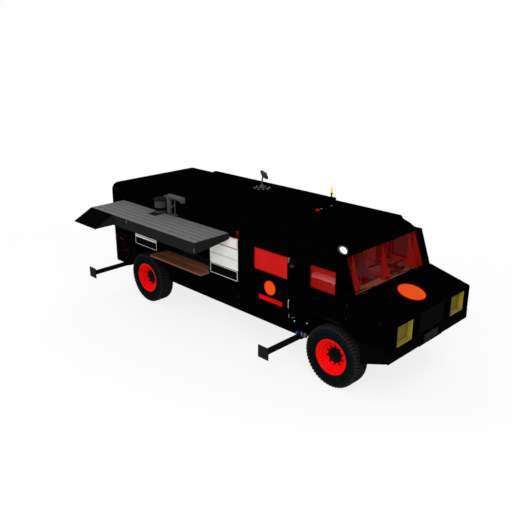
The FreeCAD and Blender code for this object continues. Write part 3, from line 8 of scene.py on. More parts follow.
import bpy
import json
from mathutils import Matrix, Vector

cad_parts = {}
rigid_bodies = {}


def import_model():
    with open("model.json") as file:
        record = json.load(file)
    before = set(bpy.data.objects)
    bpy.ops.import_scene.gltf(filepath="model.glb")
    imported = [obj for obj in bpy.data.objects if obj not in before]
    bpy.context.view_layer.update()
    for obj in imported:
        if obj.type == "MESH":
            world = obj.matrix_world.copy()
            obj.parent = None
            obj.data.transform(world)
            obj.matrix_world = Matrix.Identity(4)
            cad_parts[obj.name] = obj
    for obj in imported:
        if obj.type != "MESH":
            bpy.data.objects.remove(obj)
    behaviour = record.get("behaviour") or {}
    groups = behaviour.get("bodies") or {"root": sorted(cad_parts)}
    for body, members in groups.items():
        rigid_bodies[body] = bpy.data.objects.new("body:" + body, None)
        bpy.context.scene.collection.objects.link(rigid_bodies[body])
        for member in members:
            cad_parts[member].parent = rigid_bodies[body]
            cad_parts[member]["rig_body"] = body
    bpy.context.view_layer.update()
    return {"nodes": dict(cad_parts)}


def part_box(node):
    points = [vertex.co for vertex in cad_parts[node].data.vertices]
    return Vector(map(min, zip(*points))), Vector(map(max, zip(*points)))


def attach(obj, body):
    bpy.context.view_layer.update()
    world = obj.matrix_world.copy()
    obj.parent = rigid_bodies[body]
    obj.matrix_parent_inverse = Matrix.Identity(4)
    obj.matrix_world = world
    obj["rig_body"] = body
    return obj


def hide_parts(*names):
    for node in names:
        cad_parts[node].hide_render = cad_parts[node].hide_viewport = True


bl_info = {
    "name": "Food truck looks",
    "version": (1, 0, 0),
    "blender": (4, 5, 0),
    "location": "3D View > Sidebar > Food truck",
    "description": "Finishes, trim, padded seats and stage of a food truck, round its CAD frame",
    "category": "Object",
}

import json
import math
from contextlib import contextmanager

import bmesh
import bpy
from bpy.props import FloatProperty, FloatVectorProperty, IntProperty, PointerProperty
from mathutils import Matrix, Vector

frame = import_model()

X, Y, Z = Vector((1, 0, 0)), Vector((0, 1, 0)), Vector((0, 0, 1))


def centre(node):
    """The middle of a CAD node's box."""
    low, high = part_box(node)
    return (low + high) / 2


REAR_HUB = centre("rear_right_tyre")
ORIGIN = Vector((REAR_HUB.x, (REAR_HUB.y + centre("rear_left_tyre").y) / 2, 0))


def span(node):
    """Lowest and highest corner of a CAD node in the truck's datum."""
    low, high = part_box(node)
    return low - ORIGIN, high - ORIGIN


# Sizes read from the frame.
WHEELBASE = centre("front_right_tyre").x - REAR_HUB.x
HUB_HEIGHT = REAR_HUB.z
HALF = span("cab_frame")[1].y
TAIL = span("rear_wall")[0].x
NOSE = span("front_fascia")[1].x
ROOF = span("roof_shell")[1].z
ROOF_JOINT = span("roof_shell")[0].z
TYRE_RADIUS = span("rear_right_tyre")[1].z - HUB_HEIGHT
TYRE_HALF = (span("rear_right_tyre")[1].y - span("rear_right_tyre")[0].y) / 2
RIM_RADIUS = span("rear_right_rim")[1].z - HUB_HEIGHT
# Sizes that the frame's boxes don't show.
ROOF_ROLL = 0.165
FLOOR = 1.245
HATCH_REAR, HATCH_FRONT, HATCH_LOW, HATCH_HIGH = 0.455, 2.154, 1.292, 2.105
AWNING_REACH = 0.864
FLUE_X, NOTCH_HALF = 0.730, 0.134
SPRING_Y = 0.435
NUT_CIRCLE = 0.172
ROOF_SEAMS = (0.25, 1.10, 1.97, 2.82, 3.84)
WALL_SEAMS = (1.11, 1.966, 2.818)
KNEE_TOP, KNEE_LOW, SKIRT_HALF, SKIRT_LOW = 1.140, 0.790, HALF - 0.167, 0.620
GLINT_ON = Vector((5.2292, -1.0016, 2.4436))
WHEELS = [("rear_right", 0, -1), ("front_right", WHEELBASE, -1),
          ("rear_left", 0, 1), ("front_left", WHEELBASE, 1)]


# ------------------------------------------------------------------ user settings

def colour(name, description, default):
    return FloatVectorProperty(name=name, description=description, default=default, size=3,
                               min=0, max=1, subtype="COLOR")


def length(name, description, default, low=0.0, high=1.0):
    return FloatProperty(name=name, description=description, default=default, min=low, max=high,
                         subtype="DISTANCE", unit="LENGTH")


class TruckColours(bpy.types.PropertyGroup):
    """Colours of the truck's finishes."""
    body: colour("Body", "Satin paint of the body panels", (0.0005, 0.0006, 0.0006))
    chassis: colour("Chassis", "Matt paint of rails, axles and beams", (0.0035, 0.0035, 0.0038))
    rim: colour("Rims", "Enamel of the wheels", (0.80, 0.003, 0.003))
    sidewall: colour("Sidewall", "Rubber of the tyre walls", (0.0006, 0.0048, 0.0048))
    tread: colour("Tread", "Rubber of the tread", (0.0055, 0.0055, 0.006))
    glass: colour("Glass", "Tint of the panes", (0.60, 0.010, 0.008))
    awning: colour("Awning", "Ribbed sheet of the serving flap", (0.126, 0.126, 0.128))
    timber: colour("Timber", "Oiled boards of counter and dashboard", (0.262, 0.100, 0.052))
    boards: colour("Boards", "Enamel of the sign boards", (0.80, 0.80, 0.78))
    lamps: colour("Lamp trays", "Reflecting paint of the lamp trays", (0.36, 0.30, 0.028))
    badge: colour("Badge", "Plain discs on hood and door", (0.78, 0.075, 0.012))
    stripe: colour("Stripe", "Plain bar on the side door and the marker strip",
                   (0.55, 0.004, 0.003))


class TruckSizes(bpy.types.PropertyGroup):
    """Sizes of the trim."""
    edge: length("Panel edge", "Rounding of the panels' edges", 0.004)
    seam: length("Seam bead", "Radius of the sealing beads on the joints", 0.0045)
    rivet: length("Rivet", "Radius of a rivet head", 0.0075)
    rib_pitch: length("Awning rib pitch", "Distance from one rib of the awning to the next", 0.140,
                      0.03)
    groove: length("Awning groove", "Width of the grooves between the ribs", 0.018, 0.004)
    tread_blocks: IntProperty(name="Tread blocks", description="Blocks round each tyre", default=54,
                              min=20)
    wheel_nuts: IntProperty(name="Wheel nuts", description="Nuts on each rim", default=10, min=4)


# ------------------------------------------------------------------ modelling by hand

def deselect():
    """Leave edit mode with nothing selected."""
    if bpy.context.mode != "OBJECT":
        bpy.ops.object.mode_set(mode="OBJECT")
    bpy.ops.object.select_all(action="DESELECT")


def only(thing):
    """Select one thing and nothing else."""
    deselect()
    thing.select_set(True)
    bpy.context.view_layer.objects.active = thing
    return thing


@contextmanager
def editing(thing, kind="FACE"):
    """Edit mode on one object with nothing selected in it."""
    only(thing)
    bpy.ops.object.mode_set(mode="EDIT")
    bpy.ops.mesh.select_mode(type=kind)
    bpy.ops.mesh.select_all(action="DESELECT")
    yield
    bpy.ops.object.mode_set(mode="OBJECT")


def pick(thing, test, kind="faces"):
    """Select the faces, edges or vertices of an edited mesh that pass a test."""
    mesh = bmesh.from_edit_mesh(thing.data)
    for part in getattr(mesh, kind):
        part.select_set(bool(test(part)))
    mesh.select_flush_mode()
    bmesh.update_edit_mesh(thing.data)


def settle(thing):
    """Put an object's place, turn and scale into its mesh."""
    only(thing)
    bpy.ops.object.transform_apply(location=True, rotation=True, scale=True)
    return thing


def modified(thing, kind, **settings):
    """Add a modifier with these settings and apply it."""
    only(thing)
    modifier = thing.modifiers.new(kind.lower(), kind)
    for name, setting in settings.items():
        setattr(modifier, name, setting)
    bpy.ops.object.modifier_apply(modifier=modifier.name)
    return thing


def rounded(thing, width, segments=2, angle=35):
    """Round the edges that are sharper than an angle in degrees."""
    return modified(thing, "BEVEL", width=width, segments=segments, limit_method="ANGLE",
                    angle_limit=math.radians(angle), use_clamp_overlap=True)


def block(low, high, edge=0.0, segments=2):
    """A box between two corners, with its edges rounded."""
    low, high = Vector(low), Vector(high)
    deselect()
    bpy.ops.mesh.primitive_cube_add(size=1, location=(low + high) / 2)
    thing = bpy.context.object
    thing.scale = high - low
    settle(thing)
    return rounded(thing, edge, segments) if edge else thing


def rod(start, end, radius, sides=24, edge=0.0, tip=None):
    """A round bar between two points, tapered where the far end's radius is given."""
    start, end = Vector(start), Vector(end)
    run = end - start
    deselect()
    bpy.ops.mesh.primitive_cone_add(vertices=sides, radius1=radius,
                                    radius2=radius if tip is None else tip, depth=run.length,
                                    location=(start + end) / 2,
                                    rotation=run.to_track_quat("Z", "Y").to_euler())
    thing = settle(bpy.context.object)
    return rounded(thing, edge, 2, 50) if edge else thing


def globe(middle, radius, squash=(1, 1, 1), sides=24):
    deselect()
    bpy.ops.mesh.primitive_uv_sphere_add(segments=sides, ring_count=sides // 2, radius=radius,
                                         location=middle)
    thing = bpy.context.object
    thing.scale = squash
    return settle(thing)


def ring(middle, axis, radius, thickness, sides=48, round_sides=12):
    deselect()
    bpy.ops.mesh.primitive_torus_add(location=middle,
                                     rotation=Vector(axis).to_track_quat("Z", "Y").to_euler(),
                                     major_radius=radius, minor_radius=thickness,
                                     major_segments=sides, minor_segments=round_sides)
    return settle(bpy.context.object)


def line(points):
    """A chain of edges through points, drawn by extruding a single vertex."""
    deselect()
    bpy.ops.mesh.primitive_plane_add(size=1)
    thing = bpy.context.object
    with editing(thing, "VERT"):
        bpy.ops.mesh.select_all(action="SELECT")
        bpy.ops.mesh.merge(type="CENTER")
        bpy.ops.mesh.select_all(action="SELECT")
        bpy.ops.transform.translate(value=Vector(points[0]))
        for before, after in zip(points, points[1:]):
            step = Vector(after) - Vector(before)
            bpy.ops.mesh.extrude_vertices_move(TRANSFORM_OT_translate={"value": step})
    return thing


def slab(points, depth, edge=0.0, segments=2):
    """A closed flat outline given thickness along a vector."""
    thing = line(points)
    with editing(thing, "VERT"):
        bpy.ops.mesh.select_all(action="SELECT")
        bpy.ops.mesh.edge_face_add()
        bpy.ops.mesh.extrude_region_move(TRANSFORM_OT_translate={"value": Vector(depth)})
        bpy.ops.mesh.select_all(action="SELECT")
        bpy.ops.mesh.normals_make_consistent(inside=False)
    return rounded(thing, edge, segments) if edge else thing


def lathe(profile, middle, axis, across, steps=72):
    """Spin a profile of (distance along the axis, radius) round an axis through a point."""
    middle, axis, across = Vector(middle), Vector(axis), Vector(across)
    thing = line([middle + axis * along + across * radius for along, radius in profile])
    with editing(thing, "VERT"):
        bpy.ops.mesh.select_all(action="SELECT")
        bpy.ops.mesh.spin(steps=steps, angle=math.tau, center=middle, axis=axis)
        bpy.ops.mesh.select_all(action="SELECT")
        bpy.ops.mesh.remove_doubles(threshold=0.00005)
        bpy.ops.mesh.normals_make_consistent(inside=False)
    return thing


def pipe(points, radius, bend=0.0, sides=3, closed=False):
    """A round tube through points, its corners eased by a radius."""
    thing = line(points)
    with editing(thing, "VERT"):
        bpy.ops.mesh.select_all(action="SELECT")
        if closed:
            bpy.ops.mesh.edge_face_add()
            bpy.ops.mesh.delete(type="ONLY_FACE")
            bpy.ops.mesh.select_all(action="SELECT")
        if bend:
            pick(thing, lambda v: len(v.link_edges) == 2, "verts")
            bpy.ops.mesh.bevel(offset=bend, offset_type="OFFSET", segments=6, affect="VERTICES")
    only(thing)
    bpy.ops.object.convert(target="CURVE")
    thing = bpy.context.object
    thing.data.dimensions = "3D"
    thing.data.bevel_depth = radius
    thing.data.bevel_resolution = sides
    thing.data.use_fill_caps = not closed
    bpy.ops.object.convert(target="MESH")
    return bpy.context.object


def rectangle(across, level, low, high):
    """Corners of a rectangle that lies across an axis, at a level on it."""
    place = "XYZ".index(across)
    corners = [(low[0], low[1]), (high[0], low[1]), (high[0], high[1]), (low[0], high[1])]
    return [corner[:place] + (level,) + corner[place:] for corner in corners]


def border(across, level, low, high, radius, bend, sides=3):
    """A round bead along the sides of a rectangle."""
    return pipe(rectangle(across, level, low, high), radius, bend, sides, closed=True)


def handle(start, end, out, radius, bend, sides=3):
    """A bent bar between two points, standing out from both by a vector."""
    start, end, out = Vector(start), Vector(end), Vector(out)
    return pipe([start, start + out, end + out, end], radius, bend, sides)


def copy_of(thing, move=(0, 0, 0), turn=None):
    """A copy with its own mesh, turned about the datum and then moved."""
    twin = thing.copy()
    twin.data = thing.data.copy()
    bpy.context.scene.collection.objects.link(twin)
    twin.data.transform(Matrix.Translation(Vector(move)) @ (turn or Matrix.Identity(4)))
    return twin


def about(point, axis, angle):
    """A turn in degrees about an axis through a point."""
    point = Vector(point)
    turn = Matrix.Rotation(math.radians(angle), 4, Vector(axis))
    return Matrix.Translation(point) @ turn @ Matrix.Translation(-point)


def round_axis(thing, count, point, axis):
    """The thing and its copies evenly round an axis."""
    return [thing] + [copy_of(thing, turn=about(point, axis, 360 * i / count))
                      for i in range(1, count)]


def along(thing, places):
    """The thing moved to the first of some offsets, with a copy at each of the others."""
    places = [Vector(place) for place in places]
    copies = [copy_of(thing, place) for place in places[1:]]
    thing.data.transform(Matrix.Translation(places[0]))
    return [thing] + copies


def joined(things):
    """Several things made one, under the first one's name."""
    deselect()
    for thing in things:
        thing.select_set(True)
    bpy.context.view_layer.objects.active = things[0]
    if len(things) > 1:
        bpy.ops.object.join()
    return things[0]


def finished(things, name, finish, body="root", replaces=(), angle=32):
    """Join pieces, shade them, move them to the frame, and hang them on their body."""
    thing = joined(things if isinstance(things, list) else [things])
    thing.name = thing.data.name = name
    thing.data.transform(Matrix.Translation(ORIGIN))
    return dressed(thing, finish, body, replaces, angle)


def dressed(thing, finish, body, replaces, angle=32):
    """Shade a piece that is in the frame, give it its finish and hang it on its body."""
    only(thing)
    bpy.ops.object.shade_smooth_by_angle(angle=math.radians(angle))
    modified(thing, "WEIGHTED_NORMAL", keep_sharp=True)
    thing.data.materials.clear()
    thing.data.materials.append(FINISHES[finish])
    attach(thing, body)
    if replaces:
        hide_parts(*replaces)
    return thing


def body_of(node):
    """The moving body that carries a CAD node."""
    return frame["nodes"][node]["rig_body"]


def eased(node, finish, edge, segments=2):
    """Stand a copy of a CAD node, with its edges rounded, in the node's place."""
    twin = frame["nodes"][node].copy()
    twin.data = twin.data.copy()
    for key in [key for key in twin.keys() if key.startswith("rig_")]:
        del twin[key]
    twin.parent = None
    bpy.context.scene.collection.objects.link(twin)
    twin.name = twin.data.name = f"{node}_skin"
    with editing(twin, "VERT"):
        bpy.ops.mesh.select_all(action="SELECT")
        bpy.ops.mesh.remove_doubles(threshold=0.00002)
        bpy.ops.mesh.dissolve_limited(angle_limit=math.radians(0.6))
    rounded(twin, edge, segments)
    return dressed(twin, finish, body_of(node), [node])


# ------------------------------------------------------------------ finishes

class Signal:
    """One output socket of a finish; Python's operators on it add its Math nodes."""

    def __init__(self, finish, socket):
        self.finish = finish
        self.socket = socket

    def __add__(self, other):
        return self.finish.maths("ADD", self, other)

    def __radd__(self, other):
        return self.finish.maths("ADD", other, self)

    def __sub__(self, other):
        return self.finish.maths("SUBTRACT", self, other)

    def __rsub__(self, other):
        return self.finish.maths("SUBTRACT", other, self)

    def __mul__(self, other):
        return self.finish.maths("MULTIPLY", self, other)

    def __rmul__(self, other):
        return self.finish.maths("MULTIPLY", other, self)

    def __truediv__(self, other):
        return self.finish.maths("DIVIDE", self, other)

    def __rtruediv__(self, other):
        return self.finish.maths("DIVIDE", other, self)

    def __pow__(self, other):
        return self.finish.maths("POWER", self, other)

    def __rpow__(self, other):
        return self.finish.maths("POWER", other, self)

    def __abs__(self):
        return self.finish.maths("ABSOLUTE", self)


class Finish:
    """A material, or a world's background, that is being built."""

    def __init__(self, name=None, world=None):
        self.material = world or bpy.data.materials.new(name)
        self.material.use_nodes = True
        self.tree = self.material.node_tree
        self.tree.nodes.clear()

    def node(self, kind, settings=None, values=(), output=0):
        """Any node: its settings are set first, then its sockets get values or links."""
        made = self.tree.nodes.new(kind)
        for name, setting in (settings or {}).items():
            if name == "stops":
                while len(made.color_ramp.elements) < len(setting):
                    made.color_ramp.elements.new(1.0)
                for element, (position, shade) in zip(made.color_ramp.elements, setting):
                    element.position = position
                    element.color = (*shade, 1)
            else:
                setattr(made, name, setting)
        for key, given in (values.items() if isinstance(values, dict) else enumerate(values)):
            socket = made.inputs[key]
            if isinstance(given, Signal):
                self.tree.links.new(given.socket, socket)
            elif socket.type == "RGBA":
                socket.default_value = (*given, 1)
            else:
                socket.default_value = given
        return Signal(self, made.outputs[output])

    def maths(self, operation, *values):
        return self.node("ShaderNodeMath", {"operation": operation}, values)

    def blend(self, share, first, second):
        """Mix two colours."""
        return self.node("ShaderNodeMix", {"data_type": "RGBA"}, {0: share, 6: first, 7: second},
                         output=2)

    def place(self, stretch):
        """Object coordinates, in metres, stretched."""
        spot = self.node("ShaderNodeTexCoord", output=3)
        return self.node("ShaderNodeMapping", None, {"Vector": spot, "Scale": stretch})

    def axes(self):
        """The x, y and z of a point of the object as three numbers."""
        spot = self.node("ShaderNodeTexCoord", output=3)
        split = self.node("ShaderNodeSeparateXYZ", None, [spot]).socket.node
        return [Signal(self, socket) for socket in split.outputs]

    def noise(self, scale, detail=3.0, stretch=(1, 1, 1), roughness=0.5):
        """Cloudy noise over the object, its grain a number per metre."""
        values = {"Vector": self.place(stretch), "Scale": scale, "Detail": detail,
                  "Roughness": roughness}
        return self.node("ShaderNodeTexNoise", None, values)

    def ramp(self, value, low, high):
        """Spread the values between low and high over 0 to 1."""
        return self.node("ShaderNodeMapRange", {"clamp": True},
                         {0: value, 1: low, 2: high, 3: 0.0, 4: 1.0})

    def bump(self, height, distance, strength=1.0, under=None):
        values = {"Height": height, "Distance": distance, "Strength": strength}
        if under:
            values["Normal"] = under
        return self.node("ShaderNodeBump", None, values)

    def done(self, base, roughness, normal=None, **constants):
        """The surface, with its constants written as socket_name=value."""
        values = {"Base Color": base, "Roughness": roughness}
        if normal:
            values["Normal"] = normal
        for name, given in constants.items():
            values[name.replace("_", " ").title().replace("Ior", "IOR")] = given
        surface = self.node("ShaderNodeBsdfPrincipled", None, values)
        self.node_output(surface)
        return self.material

    def node_output(self, surface):
        out = self.tree.nodes.new("ShaderNodeOutputMaterial")
        self.tree.links.new(surface.socket, out.inputs["Surface"])


def times(shade, factor):
    """A colour made darker or lighter."""
    return tuple(min(1.0, part * factor) for part in shade)


def paint(name, shade, roughness, specular=0.5, ripple=0.00015, dust=0.35, metallic=0.0,
          polished=None):
    """Sprayed paint: faint orange peel, uneven gloss, dust low down, perhaps a polished spot."""
    finish = Finish(name)
    cloud = finish.noise(1.7, 4.0)
    fine = finish.noise(420.0, 2.0)
    height = finish.axes()[2]
    low = finish.ramp(height, 1.25, 0.45) * finish.ramp(finish.noise(6.0, 6.0), 0.35, 0.75) * dust
    tinted = finish.blend(cloud, times(shade, 0.8), times(shade, 1.25))
    dusty = finish.blend(low, tinted, tuple(part + 0.012 for part in times(shade, 1.5)))
    gloss = finish.ramp(cloud, 0.2, 0.8) * 0.10 + roughness + low * 0.2
    coat = {}
    if polished:
        steps = [part - middle for part, middle in zip(finish.axes(), ORIGIN + polished)]
        away = (steps[0] * steps[0] + steps[1] * steps[1] + steps[2] * steps[2]) ** 0.5
        coat = {"coat_weight": finish.ramp(away, 0.10, 0.03), "coat_roughness": 0.16}
    return finish.done(dusty, gloss, finish.bump(fine, ripple), metallic=metallic,
                       specular_ior_level=specular, **coat)


def lamp_tray(name, shade):
    """Reflecting paint in an open tray: a darker back that is painted shade, and a paler floor that
    is painted light.
    """
    finish = Finish(name)
    x, _, z = finish.axes()
    low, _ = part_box("headlight_trays")
    cloud = finish.noise(20.0, 3.0)
    # painted shade: the walls darken to 0.3 of the colour towards the back of the tray
    walls = finish.blend(finish.ramp(x, low.x + 0.030, low.x + 0.012), shade, times(shade, 0.30))
    # painted light: the tray's floor is made paler than its walls
    floor = finish.blend(finish.ramp(z, low.z + 0.022, low.z + 0.014), walls,
                         tuple(part * 0.62 + 0.02 for part in shade))
    mottled = finish.blend(cloud * 0.25, floor, times(shade, 0.5))
    return finish.done(mottled, cloud * 0.1 + 0.45, finish.bump(cloud, 0.0003),
                       specular_ior_level=0.05)


def rubber(name, shade, roughness=0.75):
    """Tyre rubber: dull, mottled, with fine moulding grain."""
    finish = Finish(name)
    mottle = finish.noise(14.0, 6.0)
    grain = finish.noise(900.0, 2.0)
    tinted = finish.blend(mottle, times(shade, 0.65), times(shade, 1.5))
    return finish.done(tinted, mottle * 0.2 + roughness - 0.1, finish.bump(grain, 0.0003),
                       specular_ior_level=0.006)


def brushed(name, shade, roughness, along=(1, 60, 60), metallic=1.0, specular=0.5):
    """Metal sheet with drawn scratches along one axis and patches of wear."""
    finish = Finish(name)
    lines = finish.noise(9.0, 4.0, along)
    patches = finish.noise(3.0, 5.0)
    tinted = finish.blend(finish.ramp(lines * 0.6 + patches * 0.4, 0.3, 0.7), times(shade, 0.82),
                          times(shade, 1.18))
    return finish.done(tinted, lines * 0.14 + patches * 0.14 + (roughness - 0.14),
                       finish.bump(lines, 0.0002), metallic=metallic, specular_ior_level=specular)


def timber(name, shade):
    """Oiled boards: long grain, pores, and a tone that changes from board to board."""
    finish = Finish(name)
    y = finish.axes()[1]
    board = finish.maths("FLOOR", (y + 20.0) / 0.118)
    tone = finish.node("ShaderNodeTexWhiteNoise", {"noise_dimensions": "1D"}, {"W": board})
    grain = finish.noise(5.0, 8.0, (1.2, 26, 26), 0.62)
    pores = finish.noise(60.0, 3.0, (1, 14, 14))
    figure = finish.blend(finish.ramp(grain, 0.34, 0.68), times(shade, 0.62), times(shade, 1.22))
    toned = finish.blend(tone * 0.35, figure, times(shade, 0.75))
    pored = finish.blend(finish.ramp(pores, 0.62, 0.72) * 0.45, toned, times(shade, 0.4))
    return finish.done(pored, 0.62 - grain * 0.18, finish.bump(grain * 0.7 + pores * 0.3, 0.0008),
                       specular_ior_level=0.03)


def tinted_glass(name, shade, cover):
    """A coloured film on glass: it shows its own colour and lets part of the cabin through."""
    finish = Finish(name)
    haze = finish.noise(2.2, 3.0)
    tinted = finish.blend(haze, times(shade, 0.88), times(shade, 1.12))
    return finish.done(tinted, haze * 0.04 + 0.05, alpha=haze * 0.06 + (cover - 0.03),
                       specular_ior_level=0.02)


def moulding(name, shade, roughness=0.5, specular=0.4, depth=0.00015, **constants):
    """Moulded plastic or rubber trim with a fine grain."""
    finish = Finish(name)
    cloud = finish.noise(8.0, 3.0)
    grain = finish.noise(1400.0, 1.0)
    tinted = finish.blend(cloud, times(shade, 0.85), times(shade, 1.15))
    return finish.done(tinted, cloud * 0.1 + roughness - 0.05, finish.bump(grain, depth),
                       specular_ior_level=specular, **constants)


def cloth(name, shade):
    """Woven seat cloth: crossed threads with a soft sheen and uneven dye."""
    finish = Finish(name)
    x, y, z = finish.axes()
    pitch = 0.0035
    warp = abs(finish.maths("SINE", (x + z) * (math.pi / pitch)))
    weft = abs(finish.maths("SINE", y * (math.pi / pitch)))
    weave = warp * weft
    fade = finish.noise(5.0, 5.0)
    tinted = finish.blend(weave * 0.55 + fade * 0.45, times(shade, 0.6), times(shade, 1.6))
    return finish.done(tinted, 0.95 - weave * 0.1,
                       finish.bump(weave + finish.noise(220.0, 3.0) * 0.4, 0.0007),
                       specular_ior_level=0.2, sheen_weight=0.25)


def lit(name, shade, strength):
    """A lamp's lens, glowing a little; on the locker's seals, the dash dials and the air cap's
    mark, which are no lamps, the glow is painted light.
    """
    finish = Finish(name)
    ripple = finish.noise(90.0, 1.0)
    return finish.done(finish.blend(ripple, times(shade, 0.8), shade), 0.18,
                       finish.bump(ripple, 0.0004), emission_color=shade,
                       emission_strength=strength)


FINISHES = {}


def make_finishes(colours):
    """Every finish of the truck, by the name that the pieces use."""
    own = {field: tuple(getattr(colours, field)) for field in TruckColours.__annotations__}
    bumper = tuple(part + 0.0007 for part in own["body"])

    # paints: finish, material, colour, roughness, specular, ripple's depth, dust
    for finish, name, shade, *look in (
            ("body", "satin_black", own["body"], 0.30, 0.0, 0.00015, 0.05),
            ("chassis", "chassis_black", own["chassis"], 0.62, 0.001, 0.0004, 0.4),
            ("rim", "rim_enamel", own["rim"], 0.22, 0.022, 0.0001, 0.04),
            ("board_white", "white_enamel", own["boards"], 0.35, 0.05, 0.0001, 0.05),
            ("board_black", "black_enamel", (0.0015, 0.0015, 0.0015), 0.35, 0.005, 0.0001, 0.05),
            ("bumper", "bumper_grey", bumper, 0.5, 0.0, 0.0003, 0.12),
            ("plate_grey", "plate_grey", (0.010, 0.010, 0.011), 0.45, 0.006, 0.0001, 0.3),
            ("visor", "visor_black", (0.0015, 0.0015, 0.0017), 0.55, 0.0004, 0.0002, 0.0),
            ("badge", "orange_enamel", own["badge"], 0.4, 0.0, 0.0001, 0.0),
            ("stripe", "red_enamel", own["stripe"], 0.4, 0.0, 0.0001, 0.0),
            ("frame", "seat_frame_grey", (0.07, 0.04, 0.042), 0.42, 0.05, 0.0002, 0.0)):
        FINISHES[finish] = paint(name, shade, *look)
    FINISHES["crown"] = paint("polished_black", own["body"], 0.30, 0.0, dust=0.0,
                              polished=GLINT_ON)
    FINISHES["iron"] = paint("engine_iron", (0.03, 0.03, 0.032), 0.7, 0.05, 0.0008, 0.6, 0.3)

    # mouldings: finish, material, colour, roughness, specular, grain's depth
    for finish, name, shade, *look in (
            ("awning", "ribbed_grey_sheet", own["awning"], 0.6, 0.004, 0.0),
            ("skirt", "dark_skirt_sheet", (0.0125, 0.0125, 0.013), 0.6, 0.002, 0.0),
            ("slat", "slat_grey", (0.0042, 0.0042, 0.0044), 0.5, 0.0005, 0.0),
            ("rear_panel", "rear_panel_grey", (0.0016, 0.0016, 0.0017), 0.6, 0.0, 0.0),
            ("vent_grey", "vent_pipe_grey", (0.060, 0.060, 0.062), 0.5, 0.05),
            ("dish", "dish_grey", (0.055, 0.055, 0.057), 0.5, 0.03),
            ("trim", "black_moulding", (0.003, 0.003, 0.0033), 0.5, 0.004),
            ("seal", "seal_rubber", (0.0012, 0.0012, 0.0012), 0.7, 0.0005),
            ("hub", "hub_black", (0.0006, 0.0014, 0.0014), 0.12, 0.035),
            ("piping", "seat_piping", (0.16, 0.155, 0.15), 0.6, 0.4),
            ("shell", "seat_shell_grey", (0.12, 0.075, 0.085), 0.6, 0.1),
            ("lining", "cabin_lining", (0.72, 0.55, 0.55), 0.7, 0.1),
            ("lining_red", "cabin_lining_red", (0.58, 0.020, 0.014), 0.7, 0.0),
            ("blue", "blue_cap", (0.006, 0.004, 0.10), 0.3, 0.1),
            ("teal", "teal_housing", (0.002, 0.030, 0.034), 0.35, 0.1)):
        FINISHES[finish] = moulding(name, shade, *look)

    # metals: finish, material, colour, roughness, the scratches' stretch, metallic, specular
    for finish, name, shade, *look in (
            ("steel", "dull_steel", (0.16, 0.16, 0.165), 0.42, (30, 30, 1), 1.0, 0.5),
            ("dark_steel", "dark_steel", (0.010, 0.010, 0.011), 0.45, (30, 30, 1), 0.7, 0.05),
            ("flue", "flue_grey", (0.050, 0.050, 0.051), 0.5, (30, 30, 1), 0.0, 0.02),
            ("chrome", "bright_fittings", (0.42, 0.42, 0.43), 0.25, (20, 20, 1), 1.0, 0.5),
            ("nut", "wheel_nut_steel", (0.006, 0.003, 0.003), 0.4, (30, 30, 1), 0.2, 0.02),
            ("equipment", "kitchen_steel", (0.10, 0.105, 0.12), 0.4, (1, 1, 30), 0.6, 0.1)):
        FINISHES[finish] = brushed(name, shade, *look)

    # panes: finish, material, colour, the share that the film covers
    for finish, name, shade, cover in (
            ("glass", "red_glass", own["glass"], 0.80),
            ("cab_glass", "cab_glass", times(own["glass"], 0.9), 0.31),
            ("far_glass", "dark_red_glass", (0.11, 0.005, 0.004), 0.93),
            ("screen", "windscreen_glass", times(own["glass"], 0.5), 0.09),
            ("fin", "red_fin", (0.42, 0.010, 0.007), 0.66)):
        FINISHES[finish] = tinted_glass(name, shade, cover)

    # lenses: colour, strength of the glow
    for name, shade, strength in (
            ("amber_lens", (0.95, 0.42, 0.03), 1.1), ("red_lens", (0.75, 0.004, 0.003), 0.5),
            ("white_lens", (0.8, 0.8, 0.78), 0.25), ("cyan_lens", (0.0, 0.62, 0.70), 0.8),
            ("yellow_lens", (0.8, 0.7, 0.05), 0.5)):
        FINISHES[name] = lit(name, shade, strength)

    FINISHES.update({
        "sidewall": rubber("tyre_sidewall", own["sidewall"], 0.6),
        "tread": rubber("tyre_tread", own["tread"], 0.85),
        "tread_block": rubber("tread_blocks", times(own["tread"], 2.6), 0.85),
        "timber": timber("oiled_boards", own["timber"]),
        # painted light: the worktop's boards are the oiled timber made 1.7 times lighter, against
        # the shade under the awning
        "worktop": timber("worktop_boards", times(own["timber"], 1.7)),
        "lamp": lamp_tray("lamp_tray_yellow", own["lamps"]),
        "cloth": cloth("seat_cloth", (0.34, 0.012, 0.010)),
    })


# ------------------------------------------------------------------ stage

CAMERA_PLACE = Vector((11.267, -9.061, 5.888))
GLINT_FACING = Vector((0.53, -0.229, 0.816)).normalized()
TO_CAMERA = (CAMERA_PLACE - GLINT_ON).normalized()
GLINT_PLACE = ORIGIN + GLINT_ON + (GLINT_FACING * 2 * TO_CAMERA.dot(GLINT_FACING) - TO_CAMERA) * 7.0


